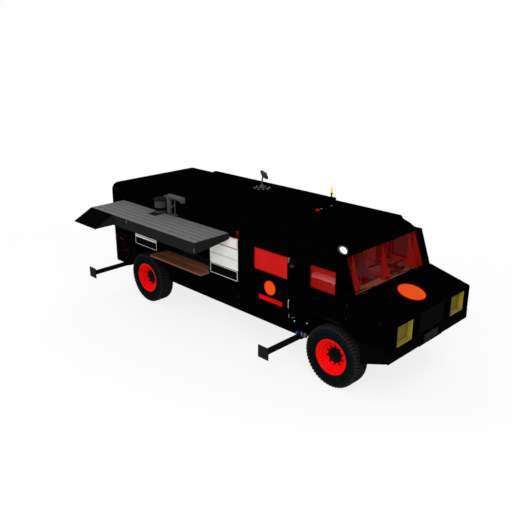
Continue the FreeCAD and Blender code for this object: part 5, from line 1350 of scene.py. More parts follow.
class TRUCK_OT_doors(bpy.types.Operator):
    """Hinges, handles and badges on the doors, and the marker units beside them"""
    bl_idname = "truck.doors"
    bl_label = "Door fittings"

    def execute(self, context):
        badge((3.824, -HALF, 1.427), -Y, 0.135, "side_door", "side_door_leaf")
        bar = on_right((3.545, 4.125), (1.150, 1.236), 0.004, 0.002)
        finished(bar, "side_door_bar", "stripe", "side_door_leaf")
        self.hinges()
        self.handles()
        self.right_strip()
        return {"FINISHED"}

    def hinges(self):
        """Knuckles on the upright hinges of the doors and the locker."""
        for name, body, x, side, heights in (
                ("side_door", "side_door_leaf", 3.003, -1, (1.02, 1.60, 2.22)),
                ("right_cab_door", "right_cab_door_leaf", 5.551, -1, (1.39, 1.62)),
                ("left_cab_door", "left_cab_door_leaf", 5.551, 1, (1.39, 1.62)),
                ("locker", "locker_lid", -1.107, -1, (0.93, 1.20))):
            pins = [rod((x, side * (HALF + 0.008), z - 0.03), (x, side * (HALF + 0.008), z + 0.03),
                        0.008, 16, 0.002) for z in heights]
            finished(pins, f"{name}_hinges", "dark_steel", body)
        pins = [rod((TAIL - 0.008, 0.400, z - 0.05), (TAIL - 0.008, 0.400, z + 0.05), 0.009, 16,
                    0.002) for z in (1.12, 1.55, 1.98)]
        finished(pins, "rear_door_hinges", "dark_steel", "rear_door_leaf")

    def handles(self):
        grab = handle((4.303, -HALF + 0.004, 1.185), (4.303, -HALF + 0.004, 1.345), Y * -0.034,
                      0.0085, 0.016)
        finished(grab, "side_grab_handle", "chrome")
        paddle = [on_right((4.180, 4.236), (1.270, 1.318), 0.012, 0.006, 3),
                  on_right((4.188, 4.228), (1.280, 1.300), 0.022, 0.004, sunk=-0.010)]
        finished(paddle, "side_door_handle", "trim", "side_door_leaf")
        for name, side in (("right", -1), ("left", 1)):
            y = side * HALF
            pull = handle((4.80, y, 1.56), (4.93, y, 1.56), Y * side * 0.024, 0.0075, 0.012)
            lock = rod((4.97, y - side * 0.002, 1.56), (4.97, y + side * 0.005, 1.56), 0.013, 20,
                       0.001)
            finished([pull, lock], f"{name}_cab_door_handle", "trim", f"{name}_cab_door_leaf")
        pull = handle((TAIL, -0.33, 1.42), (TAIL, -0.33, 1.60), X * -0.03, 0.009, 0.014)
        finished(pull, "rear_door_handle", "chrome", "rear_door_leaf")
        # painted light: the locker's seal dots glow with the red lens finish, though they are no
        # lamps
        dots = [(-1.092, 1.278), (-0.959, 1.278), (-0.875, 1.272), (-0.775, 1.175), (-0.758, 1.03)]
        finished(domes([(x, -HALF, z) for x, z in dots], 0.0075, Y), "locker_seals", "red_lens",
                 "locker_lid")
        self.rear_panel()

    def rear_panel(self):
        """Sheet round the locker, from the corner of the body to the wheel arch."""
        face = -HALF
        outline = ((-1.152, 1.430), (-0.620, 1.430), (-0.560, 1.405), (-0.532, 1.345),
                   (-0.532, 1.122), (-0.612, 1.090), (-0.612, 0.838), (-0.740, 0.838),
                   (-0.740, 1.177), (-0.858, 1.295), (-1.152, 1.295))
        sheet = slab([(x, face, z) for x, z in outline], (0, -0.004, 0), 0.0012)
        lower = block((-1.152, face - 0.003, 0.706), (-0.612, face, 0.824), 0.0012)
        finished([sheet, lower], "rear_corner_panel", "rear_panel")

    def right_strip(self):
        """Camera and marker unit, latch plate, lamps and couplings between the door and the cab."""
        face = -HALF
        housing = on_right((4.315, 4.400), (2.030, 2.105), 0.060, 0.018, 4)
        arm = on_right((4.30, 4.455), (2.09, 2.112), 0.02, 0.006)
        finished([housing, arm], "marker_housing", "trim")
        cup = on_right((4.345, 4.405), (1.978, 2.032), 0.055, 0.012, 3)
        finished(cup, "marker_cup", "teal")
        lens = on_right((4.280, 4.298), (2.040, 2.128), 0.040, 0.005, 3)
        finished(lens, "marker_lens", "piping")
        latch = [on_right((4.292, 4.314), (1.000, 1.066), 0.012),
                 on_right((4.362, 4.386), (1.008, 1.030), 0.008),
                 on_right((4.410, 4.432), (1.030, 1.046), 0.008)]
        finished(latch, "door_latch", "steel")
        finished(rod((4.43, face + 0.002, 0.975), (4.43, face - 0.007, 0.975), 0.011, 20, 0.002),
                 "status_lamp", "cyan_lens")
        skirt = -SKIRT_HALF
        cap = globe((4.432, skirt - 0.042, 0.712), 0.050, sides=32)
        neck = rod((4.432, skirt + 0.002, 0.712), (4.432, skirt - 0.030, 0.712), 0.022, 24, 0.003)
        # painted light: the cap's mark glows with the cyan lens finish, though it is no lamp
        dot = rod((4.404, skirt - 0.080, 0.705), (4.404, skirt - 0.092, 0.705), 0.008, 16, 0.002)
        finished(dot, "air_cap_mark", "cyan_lens")
        finished([cap, neck], "air_cap", "blue")
        cans = [rod((x, skirt - 0.034, 0.655), (x, skirt - 0.034, 0.745), 0.026, 28, 0.005)
                for x in (4.495, 4.565)]
        clip = block((4.470, skirt - 0.030, 0.690), (4.590, skirt + 0.004, 0.706), 0.003)
        finished(cans + [clip], "filter_cans", "steel")
        strip = on_right((2.990, 3.000), (2.135, 2.318), 0.006, 0.002)
        dots = domes([(2.955, face, 2.16 + 0.045 * i) for i in range(4)], 0.010, Y)
        finished([strip, dots], "marker_strip", "stripe")


# ------------------------------------------------------------------ serving side

def boards_of(low, high, pitch, gap, edge):
    """Planks side by side across Y between two corners."""
    low, high = Vector(low), Vector(high)
    count = max(1, round((high.y - low.y) / pitch))
    width = (high.y - low.y) / count
    return [block((low.x, low.y + width * i + gap / 2, low.z),
                  (high.x, low.y + width * (i + 1) - gap / 2, high.z), edge) for i in range(count)]


class TRUCK_OT_awning(bpy.types.Operator):
    """Ribs, painted highlights on the edge joints, stays and the rolled edges of the serving flap
    """
    bl_idname = "truck.awning"
    bl_label = "Awning flap"

    def execute(self, context):
        sizes = context.scene.truck_sizes
        low, high = span("awning")
        top = high.z
        outer = -HALF - AWNING_REACH
        ribs = []
        pitch, groove = sizes.rib_pitch, sizes.groove
        y = outer + 0.004
        notch = FLUE_X - NOTCH_HALF, FLUE_X + NOTCH_HALF
        while y < -HALF - 0.05:
            far = min(y + pitch - groove, -HALF - 0.020)
            runs = [(low.x + 0.004, high.x - 0.004)]
            if far > -HALF - 0.195:
                runs = [(low.x + 0.004, notch[0] - 0.002), (notch[1] + 0.002, high.x - 0.004)]
            for start, end in runs:
                ribs.append(block((start, y, top - 0.002), (end, far, top + 0.007), 0.0035, 2))
            y += pitch
        finished(ribs, "awning_ribs", "awning", "awning_flap")
        self.joints(low, high, outer)
        self.visor(low, outer)
        self.collar()
        return {"FINISHED"}

    def joints(self, low, high, outer):
        """Two short light strips on the outer skirt, painted highlights on the edges of its joints;
        its folded lip, and the stays below.
        """
        strips = []
        # painted highlights: strips in the awning's light grey where the dark skirt's joint edges
        # catch the light
        for share, from_top, to_top in ((0.62, 0.010, 0.075), (0.003, 0.100, 0.190)):
            x = high.x - share * (high.x - low.x)
            strips.append(block((x - 0.007, outer - 0.003, high.z - to_top),
                                (x + 0.007, outer + 0.002, high.z - from_top), 0.001))
        finished(strips, "awning_joints", "awning", "awning_flap")
        start = low.x + 0.84
        lip = pipe([(start, outer - 0.001, low.z + 0.006),
                    (high.x - 0.004, outer - 0.001, low.z + 0.006)], 0.007)
        finished(lip, "awning_lip", "skirt", "awning_flap")
        stays = []
        for x in (-0.48, 2.60):
            stays.append(rod((x, -HALF - 0.10, 2.19), (x, outer + 0.09, 2.175), 0.013, 20, 0.002))
            stays.append(rod((x, -HALF - 0.42, 2.182), (x, outer + 0.06, 2.172), 0.008, 16, 0.002))
        for middle in (0.9, 1.9):
            stays.append(block((middle - 0.012, outer + 0.03, 2.198),
                               (middle + 0.012, -HALF - 0.05, 2.214), 0.002))
        finished(stays, "awning_stays", "dark_steel", "awning_flap")

    def visor(self, low, outer):
        """Black sheet over the rear end of the flap, out over its sloping visor."""
        rear, front = low.x - 0.001, low.x + 0.821
        out, top, lip, thick = low.y, 2.2375, 2.0235, 0.0045
        cover = slab([(rear, outer + 0.01, top), (rear, outer - 0.001, top),
                      (rear, out - 0.001, lip), (rear, out - 0.001, lip - thick),
                      (rear, outer - 0.001, top - thick), (rear, outer + 0.01, top - thick)],
                     (front - rear, 0, 0), 0.001, 1)
        edges = [pipe([(x, outer, top + 0.0005), (x, out, lip - 0.0015)], 0.005)
                 for x in (rear + 0.004, front - 0.004)]
        edges.append(pipe([(rear, out, lip - 0.003), (front, out, lip - 0.003)], 0.006))
        finished([cover] + edges, "visor_cover", "visor", "awning_flap")

    def collar(self):
        """Folded edge of the notch round the flue."""
        edge = handle((FLUE_X - NOTCH_HALF, -HALF - 0.018, 2.240),
                      (FLUE_X + NOTCH_HALF, -HALF - 0.018, 2.240), Y * -0.174, 0.0045, 0.010, 2)
        finished(edge, "notch_edge", "skirt", "awning_flap")


class TRUCK_OT_counter(bpy.types.Operator):
    """Planked counter leaf and worktop, the hatch's frame and the sign boards"""
    bl_idname = "truck.counter"
    bl_label = "Counter and boards"

    def execute(self, context):
        self.leaf()
        self.worktop()
        self.hatch_frame()
        self.boards()
        return {"FINISHED"}

    def leaf(self):
        low, high = span("counter")
        corner = 0.03
        outline = [(low.x, high.y, low.z), (high.x, high.y, low.z), (high.x, low.y + corner, low.z),
                   (high.x - 0.006, low.y + 0.012, low.z), (high.x - corner, low.y, low.z),
                   (low.x + corner, low.y, low.z), (low.x + 0.006, low.y + 0.012, low.z),
                   (low.x, low.y + corner, low.z)]
        plank = slab(outline, (0, 0, high.z - low.z), 0.004, 3)
        finished(plank, "counter_planks", "timber", "counter_leaf", replaces=["counter"])
        stays = []
        for x in (0.70, 1.30, 1.90):
            stays.append(block((x - 0.015, low.y + 0.03, low.z - 0.006),
                               (x + 0.015, high.y - 0.004, low.z), 0.002))
        finished(stays, "counter_irons", "dark_steel", "counter_leaf")

    def worktop(self):
        low, high = span("worktop")
        count = 9
        width = (high.x - low.x) / count
        planks = [block((low.x + width * i + 0.0006, low.y, low.z),
                        (low.x + width * (i + 1) - 0.0006, high.y, high.z), 0.0022)
                  for i in range(count)]
        # the worktop finish is the timber lightened: painted light
        finished(planks, "worktop_planks", "worktop", replaces=["worktop"])

    def hatch_frame(self):
        """Angle strips round the opening."""
        face = -HALF
        strips = [on_right((x, x + 0.022), (HATCH_LOW, HATCH_HIGH), 0.005, 0.002, sunk=0.03)
                  for x in (HATCH_REAR - 0.022, HATCH_FRONT)]
        strips.append(on_right((HATCH_REAR - 0.022, HATCH_FRONT + 0.022),
                               (HATCH_HIGH, HATCH_HIGH + 0.020), 0.005, 0.002, sunk=0.03))
        finished(strips, "hatch_frame", "trim")
        lamp = rod((0.395, face, 2.06), (0.395, face - 0.012, 2.06), 0.014, 24, 0.003)
        finished(lamp, "hatch_lamp", "yellow_lens")

    def boards(self):
        """Eight blank boards in two stacks, each with a narrow raised border."""
        width, height, pitch, base = 0.786, 0.207, 0.215, 1.307
        rear, front, rows = -0.335, 2.200, range(4)
        face, inset = -HALF - 0.010, 0.010
        white, black, rims, red = [], [], [], []
        for x in (rear, front):
            for row in rows:
                z = base + pitch * row
                plate = block((x, face, z), (x + width, -HALF, z + height), 0.003)
                bead = border("Y", face, (x + inset, z + inset),
                              (x + width - inset, z + height - inset), 0.0045, 0.012, 2)
                if row == 0:
                    black.append(plate)
                    rims.append(bead)
                elif x == front and row == rows[-1]:
                    white.append(plate)
                    red.append(bead)
                else:
                    white += [plate, bead]
        white.append(block((-0.331, face - 0.002, 1.476), (0.447, face, 1.510), 0.001))
        finished(white, "white_boards", "board_white", replaces=["menu_boards"])
        finished(black, "black_boards", "board_black", replaces=["menu_boards"])
        finished(rims, "board_borders", "board_white")
        finished(red, "board_red_border", "stripe")
        spots = [(x + step, face, base + pitch * row + height / 2) for x in (rear, front)
                 for row in rows for step in (0.030, width - 0.030)]
        finished(domes(spots, 0.006, Y), "board_screws", "chrome")


class TRUCK_OT_kitchen(bpy.types.Operator):
    """What the hatch shows: unit doors, a griddle, a hood, shelves and pans"""
    bl_idname = "truck.kitchen"
    bl_label = "Kitchen"

    def execute(self, context):
        fronts, pulls = [], []
        left = 0.492
        for i in range(4):
            x = 0.70 + i * 0.52
            fronts.append(block((x, left - 0.012, 1.00), (x + 0.49, left - 0.002, 1.52), 0.004))
            pulls.append(handle((x + 0.12, left - 0.012, 1.48), (x + 0.37, left - 0.012, 1.48),
                                Y * -0.030, 0.006, 0.012, 2))
        for i in range(3):
            x = 0.70 + i * 0.48
            fronts.append(block((x, -0.690, 1.00), (x + 0.45, -0.680, 1.235), 0.004))
        finished(fronts, "unit_fronts", "equipment")
        finished(pulls, "unit_handles", "chrome")
        shelf = [block((0.75, 0.60, 1.86), (2.75, 0.95, 1.885), 0.004)]
        shelf += [block((x, 0.62, 1.58), (x + 0.02, 0.66, 1.86), 0.003) for x in (0.76, 1.75, 2.72)]
        finished(shelf, "shelf", "equipment")
        griddle = block((1.50, 0.55, 1.585), (2.20, 1.00, 1.70), 0.012)
        finished(griddle, "griddle", "iron")
        hood = slab([(1.40, 0.52, 2.02), (1.40, 1.06, 2.02), (1.40, 1.06, 2.36),
                     (1.40, 0.86, 2.36)], (0.95, 0, 0), 0.006)
        finished(hood, "extractor_hood", "equipment")
        bins = [block((x, 0.62, 1.885), (x + 0.20, 0.90, 2.03), 0.018, 3) for x in (0.80, 1.03)]
        finished(bins, "bins", "blue")
        pans = []
        for x, radius, height in ((2.35, 0.13, 0.19), (2.60, 0.10, 0.15), (1.22, 0.12, 0.16)):
            pot = lathe([(0.0, 0.001), (0.0, radius), (height, radius),
                         (height + 0.004, radius + 0.005), (height, radius + 0.008),
                         (0.006, radius + 0.004)], (x, 0.78, 1.585), Z, Y, 40)
            pans.append(pot)
        finished(pans, "pans", "chrome")
        return {"FINISHED"}


# ------------------------------------------------------------------ cab interior

SEAT_X, SEAT_Y = WHEELBASE - 0.520, -0.560
DASH_TOP = span("dashboard")[1].z


class TRUCK_OT_interior(bpy.types.Operator):
    """Dashboard planks, coloured fins, steering wheel, linings and the shelf"""
    bl_idname = "truck.interior"
    bl_label = "Cab interior"

    def execute(self, context):
        self.dash()
        self.fins()
        self.wheel()
        self.linings()
        return {"FINISHED"}

    def dash(self):
        low, high = span("dashboard")
        planks = boards_of((low.x, low.y, low.z), (high.x, high.y, high.z), 0.32, 0.002, 0.003)
        finished(planks, "dash_planks", "timber", replaces=["dashboard"])
        panel = [block((low.x + 0.02, 0.34, high.z), (low.x + 0.07, 0.78, high.z + 0.055), 0.010,
                       3)]
        panel += [block((low.x - 0.012, low.y + 0.02, low.z - 0.10),
                        (low.x + 0.02, high.y - 0.02, low.z), 0.008)]
        finished(panel, "dash_panel", "trim")
        # painted light: the dials' faces glow with the white lens finish, though they are no lamps
        dials = [rod((low.x + 0.020, y, high.z + 0.029), (low.x + 0.014, y, high.z + 0.029), 0.021,
                     28, 0.002) for y in (0.44, 0.51, 0.61, 0.68)]
        finished(dials, "dash_dials", "white_lens")

    def fins(self):
        """Four upright fins, from the dashboard to the head of the windscreen."""
        fins = []
        for y in (-0.86, 0.0, 0.83, 1.02):
            fins.append(slab([(5.545, y - 0.003, DASH_TOP + 0.055),
                              (5.330, y - 0.003, DASH_TOP + 0.002), (5.322, y - 0.003, 2.335)],
                             (0, 0.006, 0), 0.001, 1))
        finished(fins, "cab_fins", "fin")

    def wheel(self):
        """Rim, three spokes, boss and column of the steering wheel."""
        spot = Vector((WHEELBASE - 0.010, 0.560, 1.790))
        lean = Matrix.Translation(spot) @ Matrix.Rotation(math.radians(-38), 4, "Y")
        parts = [ring((0, 0, 0), Z, 0.190, 0.0135, 72, 16),
                 rod((0, 0, -0.030), (0, 0, 0.012), 0.050, 36, 0.010, 0.040),
                 rod((0, 0, -0.375), (0, 0, -0.028), 0.022, 24, 0.003)]
        spoke = pipe([(0.030, 0, -0.010), (0.110, 0, -0.014), (0.186, 0, -0.002)], 0.0085, 0.03)
        parts += round_axis(spoke, 3, (0, 0, 0), Z)
        for part in parts:
            part.data.transform(lean)
        finished(parts, "steering_rim", "trim", replaces=["steering_wheel"])

    def linings(self):
        """Red panels inside the cabin, with desks and a shelf below the side windows."""
        inside = HALF - 0.050
        red = self.lined((3.10, 4.62), (1.00, 2.28), (3.39, 4.26), (1.68, 2.14), inside)
        red += [block((4.63, inside - 0.018, 1.27), (4.68, inside - 0.004, 2.28), 0.004),
                block((3.05, -0.950, 2.395), (4.62, 0.950, 2.405), 0.003),
                block((4.56, -1.10, FLOOR + 0.001), (5.48, 1.10, FLOOR + 0.012), 0.004),
                block((2.972, -0.97, 1.00), (2.984, 0.24, 2.36), 0.004)]
        finished(red, "cabin_linings", "lining_red")
        door = self.lined((4.73, 5.28), (1.36, 2.29), (4.76, 5.24), (1.70, 2.14), inside)
        finished(door, "left_door_lining", "lining_red", "left_cab_door_leaf")
        circle = ring((3.98, inside - 0.018, 2.20), Y, 0.060, 0.010, 48, 10)
        finished(circle, "lining_lamp", "red_lens")
        for name, side in (("right", -1), ("left", 1)):
            near, far, top = (-0.900, -0.700, 1.656) if side < 0 else (0.980, 1.180, 1.612)
            desk = boards_of((4.62, near, top - 0.018), (5.20, far, top), 0.10, 0.002, 0.003)
            desk += [block((x, (near + far) / 2 - 0.015, FLOOR),
                           (x + 0.03, (near + far) / 2 + 0.015, top - 0.018), 0.002)
                     for x in (4.70, 5.10)]
            finished(desk, f"{name}_cab_desk", "timber")
        shelf = [block((4.66, -1.195, 1.889), (5.28, -0.985, 1.901), 0.004)]
        shelf += [block((x, -1.192, 1.850), (x + 0.010, -1.100, 1.890), 0.002)
                  for x in (4.70, 5.20)]
        finished(shelf, "cab_shelf", "lining")

    def lined(self, across, up, gap_across, gap_up, inside):
        """Four panels round a window in the left side."""
        near, far = inside - 0.016, inside - 0.004
        return [block((x0, near, z0), (x1, far, z1), 0.003) for x0, x1, z0, z1 in (
            (across[0], gap_across[0], *up), (gap_across[1], across[1], *up),
            (*gap_across, up[0], gap_up[0]), (*gap_across, gap_up[1], up[1]))]


# The cover's cloth settings, and how many frames it is blown up for.
COVER = {"use_pressure": True, "uniform_pressure_force": 4.0, "quality": 6,
         "tension_stiffness": 18, "compression_stiffness": 18, "bending_stiffness": 0.6}
BLOWING_FRAMES = 20


def padded_block(low, high, crown):
    """A crowned closed cushion between two corners, blown up as cloth."""
    low, high = Vector(low), Vector(high)
    pad = block(low + (high - low) * 0.035, high - (high - low) * 0.035)
    with editing(pad, "EDGE"):
        bpy.ops.mesh.select_all(action="SELECT")
        bpy.ops.mesh.bevel(offset=0.018, offset_type="OFFSET", segments=4, affect="EDGES")
    modified(pad, "REMESH", mode="VOXEL", voxel_size=0.0085, use_smooth_shade=True)
    start = [vertex.co.copy() for vertex in pad.data.vertices]
    only(pad)
    cloth = pad.modifiers.new("cloth", "CLOTH")
    for name, setting in COVER.items():
        setattr(cloth.settings, name, setting)
    cloth.settings.effector_weights.gravity = 0
    cloth.collision_settings.use_collision = False
    for step in range(1, BLOWING_FRAMES + 1):
        bpy.context.scene.frame_set(step)
    bpy.ops.object.modifier_apply(modifier=cloth.name)
    bpy.context.scene.frame_set(1)
    for vertex, first in zip(pad.data.vertices, start):
        move = vertex.co - first
        if move.length > crown:
            vertex.co = first + move.normalized() * crown
    modified(pad, "SMOOTH", factor=0.5, iterations=3)
    return pad


def sewn(pad, faces_up, lines, depth, reach):
    """Press sewn channels into a cushion along lines across Y, on the side that faces up."""
    for vertex in pad.data.vertices:
        near = min(abs(vertex.co.dot(faces_up) - at) for at in lines)
        if near < reach:
            vertex.co -= pad.data.vertices[vertex.index].normal * depth * (1 - near / reach) ** 1.5
    return modified(pad, "SUBSURF", levels=1, render_levels=1)


def on_seat(x, y, z):
    """A place on the right seat: from its rear edge, its middle and the cab's floor."""
    return SEAT_X + x, SEAT_Y + y, FLOOR + z


class TRUCK_OT_seats(bpy.types.Operator):
    """Padded cushions with piping, on tubular frames"""
    bl_idname = "truck.seats"
    bl_label = "Seats"

    def execute(self, context):
        half = 0.230
        seat = padded_block(on_seat(0, -half, 0.260), on_seat(0.430, half, 0.350), 0.012)
        seat = sewn(seat, X, [SEAT_X + x for x in (0.13, 0.215, 0.30)], 0.008, 0.016)
        back = padded_block(on_seat(-0.110, -half, 0.340), on_seat(-0.010, half, 0.840), 0.012)
        back = sewn(back, Z, [FLOOR + z for z in (0.44, 0.54, 0.64, 0.74)], 0.008, 0.016)
        near, far = 0.016 - half, half - 0.016
        seat_edge = rectangle("Z", 0.338, (0.016, near), (0.414, far))
        back_edge = [(x, y, z) for z, y, x in rectangle("Z", -0.026, (0.358, near), (0.822, far))]
        piping = [pipe([on_seat(*place) for place in edge], 0.0045, 0.05, closed=True)
                  for edge in (seat_edge, back_edge)]
        tubes, shell = self.frame(), self.shell()
        for name, twin in (("right", 0), ("left", 1.12)):
            for part, label in ((seat, "cushion"), (back, "back_cushion")):
                pad = finished(copy_of(part, (0, twin, 0)), f"{name}_{label}", "cloth",
                               replaces=["seat_cushions"], angle=60)
            finished([copy_of(part, (0, twin, 0)) for part in piping], f"{name}_piping", "piping")
            finished([copy_of(part, (0, twin, 0)) for part in tubes], f"{name}_seat_tubes",
                     "frame", replaces=["seat_frames"])
            finished(copy_of(shell, (0, twin, 0)), f"{name}_seat_shell", "shell")
            belt = [block(on_seat(-0.006, twin + 0.14, 0.36), on_seat(-0.002, twin + 0.185, 0.82),
                          0.001),
                    block(on_seat(0.02, twin - 0.245, 0.30), on_seat(0.05, twin - 0.232, 0.42),
                          0.004)]
            finished(belt, f"{name}_belt", "trim")
        for part in [seat, back, shell] + piping + tubes:
            only(part)
            bpy.ops.object.delete()
        return {"FINISHED"}

    def frame(self):
        """Box base, tray, and a curved tube that goes up behind the back cushion."""
        base = block(on_seat(0.04, -0.18, 0), on_seat(0.38, 0.18, 0.222), 0.010, 3)
        tray = block(on_seat(-0.11, -0.215, 0.224), on_seat(0.42, 0.215, 0.257), 0.008, 3)
        hoop = handle(on_seat(-0.125, -0.205, 0.24), on_seat(-0.125, 0.205, 0.24), Z * 0.622,
                      0.0135, 0.10, 4)
        bars = [rod(on_seat(-0.125, -0.20, z), on_seat(-0.125, 0.20, z), 0.009, 16)
                for z in (0.42, 0.62)]
        arms = [pipe([on_seat(x, side * y, z)
                      for x, y, z in ((-0.12, 0.245, 0.26), (-0.12, 0.245, 0.74),
                                      (0.16, 0.262, 0.60), (0.40, 0.250, 0.57),
                                      (0.38, 0.245, 0.25))], 0.009, 0.11, 4) for side in (-1, 1)]
        return [base, tray, hoop] + bars + arms

    def shell(self):
        """Moulded side wing of the seat, from the tray up past the backrest."""
        outline = ((-0.14, 0.23), (0.30, 0.23), (0.16, 0.36), (0.02, 0.52), (0.00, 0.84),
                   (-0.14, 0.88))
        return slab([on_seat(x, -0.262, z) for x, z in outline], Y * 0.010, 0.004)


# ------------------------------------------------------------------ roof, rear and left side

class TRUCK_OT_roof(bpy.types.Operator):
    """Flue bands, gooseneck, hatch latches, beacon, dish and the rail box's straps"""
    bl_idname = "truck.roof"
    bl_label = "Roof fittings"

    def execute(self, context):
        self.flue()
        self.gooseneck()
        self.hatch()
        self.beacon()
        self.dish()
        self.straps()
        return {"FINISHED"}

    def flue(self):
        x, y = FLUE_X, -HALF - 0.058
        dark = [rod((x, y, 2.300), (x, y, 2.365), 0.1225, 64, 0.004),
                rod((x, y, 2.508), (x, y, 2.543), 0.1435, 64, 0.009),
                rod((x, y, 2.540), (x, y, 2.553), 0.055, 40, 0.004)]
        finished(dark, "flue_bands", "trim")
        hoops = [ring((x, y, z), Z, 0.1215, 0.004, 64, 8) for z in (2.262, 2.295, 2.370, 2.480)]
        straps = [block((x - 0.03, -HALF - 0.004, z - 0.012), (x + 0.03, -HALF + 0.004, z + 0.012),
                        0.002) for z in (2.275, 2.30)]
        finished(hoops + straps, "flue_hoops", "flue")

    def gooseneck(self):
        """Clamps on the vent pipe, its mouth, the curved hook and the light pole."""
        x, y, z = 1.020, -HALF - 0.053, 2.640
        clamps = [ring((x + dx, y, z), X, 0.047, 0.0035, 48, 8) for dx in (0.06, 0.22, 0.38)]
        clamps.append(ring((x + 0.44, y, 2.580), Z, 0.053, 0.004, 48, 8))
        clamps.append(ring((x, y, 2.36), Z, 0.031, 0.0035, 40, 8))
        finished(clamps, "vent_clamps", "dark_steel")
        sleeve = pipe([(x, y, 2.30), (x, y, z), (x + 0.44, y, z), (x + 0.44, y, 2.577)], 0.0495,
                      0.058, 6)
        finished(sleeve, "vent_sleeve", "vent_grey")
        hook = pipe([(x + 0.05, y - 0.03, 2.47), (x + 0.10, y - 0.05, 2.43),
                     (x + 0.17, y - 0.05, 2.445), (x + 0.20, y - 0.03, 2.50)], 0.009, 0.035)
        pole = rod((x + 0.18, y, 2.27), (x + 0.18, y, 2.60), 0.0105, 20, 0.002)
        finished([hook, pole], "vent_hook", "vent_grey")

    def hatch(self):
        low, high = span("roof_hatch")
        top = high.z
        raised = block((low.x + 0.045, low.y + 0.045, top - 0.002),
                       (high.x - 0.045, high.y - 0.045, top + 0.012), 0.010, 3)
        ribs = along(block((low.x + 0.07, -0.006, top + 0.010), (high.x - 0.07, 0.006, top + 0.016),
                           0.002), [(0, low.y + 0.10 + 0.075 * i, 0) for i in range(5)])
        finished([raised] + ribs, "roof_hatch_top", "body", "roof_lid")
        places = low.y + 0.10, high.y - 0.10
        latches = [block((high.x - 0.008, y - 0.03, top - 0.016),
                         (high.x + 0.022, y + 0.03, top + 0.008), 0.004) for y in places]
        x, z = low.x - 0.004, top - 0.030
        latches += [rod((x, y - 0.03, z), (x, y + 0.03, z), 0.007, 16, 0.001) for y in places]
        finished(latches, "roof_hatch_latches", "dark_steel", "roof_lid")
        corner = block((high.x - 0.05, low.y - 0.002, top - 0.030),
                       (high.x + 0.002, low.y + 0.05, top + 0.003), 0.004)
        finished(corner, "roof_hatch_corner", "stripe", "roof_lid")

    def beacon(self):
        low, high = span("beacon")
        x, y = (low.x + high.x) / 2, (low.y + high.y) / 2
        pedestal = block((low.x, low.y, ROOF), (high.x, high.y, ROOF + 0.065), 0.010, 3)
        stem = [rod((x, y, ROOF + 0.064), (x, y, ROOF + 0.155), 0.016, 28, 0.002),
                rod((x, y, ROOF + 0.145), (x, y, ROOF + 0.165), 0.030, 32, 0.004)]
        finished([pedestal] + stem, "beacon_stand", "body", replaces=["beacon"])
        lens = lathe([(0.0, 0.001), (0.0, 0.0265), (0.010, 0.0285), (0.070, 0.0270),
                      (0.100, 0.0210), (0.116, 0.0110), (0.120, 0.0005)], (x, y, ROOF + 0.165), Z,
                     Y, 40)
        finished(lens, "beacon_lens", "amber_lens")

    def dish(self):
        foot = Vector((1.620, 0.780, ROOF))
        flange = [rod(foot, foot + Z * 0.012, 0.190, 64, 0.004)]
        cable = pipe([foot + Vector((0.05, 0.02, 0.01)), foot + Vector((0.06, 0.09, 0.012)),
                      foot + Vector((0.02, 0.19, 0.012))], 0.006, 0.03)
        finished(flange + [cable], "dish_foot", "trim")
        aim = Vector((0.13, 0.77, 0.44)).normalized()
        back = foot + Vector((0.015, 0.010, 0.270))
        lean = aim.to_track_quat("Z", "Y").to_matrix().to_4x4()
        cup = lathe([(-0.001, 0.0005), (-0.001, 0.041), (0.043, 0.121), (0.0465, 0.123),
                     (0.0475, 0.119), (0.0455, 0.060), (0.0455, 0.0005)], (0, 0, 0), Z, Y, 56)
        feed = rod((0, 0, 0.045), (0, 0, 0.105), 0.010, 20, 0.002, 0.006)
        horn = rod((0, 0, 0.098), (0, 0, 0.118), 0.018, 24, 0.004)
        for part in (cup, feed, horn):
            part.data.transform(Matrix.Translation(back) @ lean)
        stem = [pipe([foot, foot + Z * 0.15, back + aim * 0.004], 0.017, 0.05, 4),
                rod(foot + Z * 0.010, foot + Z * 0.095, 0.070, 40, 0.004, 0.022)]
        finished([cup, feed, horn] + stem, "dish_cup", "dish")
        bolts = round_axis(globe(foot + Vector((0.172, 0, 0.012)), 0.010, (1, 1, 0.35), 12), 10,
                           foot, Z)
        finished(bolts, "dish_bolts", "board_white")

    def straps(self):
        """Straps over the rail box."""
        straps = [block((x, 0.975, ROOF + 0.064), (x + 0.012, 1.075, ROOF + 0.069), 0.002)
                  for x in (0.25, 0.85, 1.45, 2.05, 2.65)]
        finished(straps, "rail_box_straps", "seal")


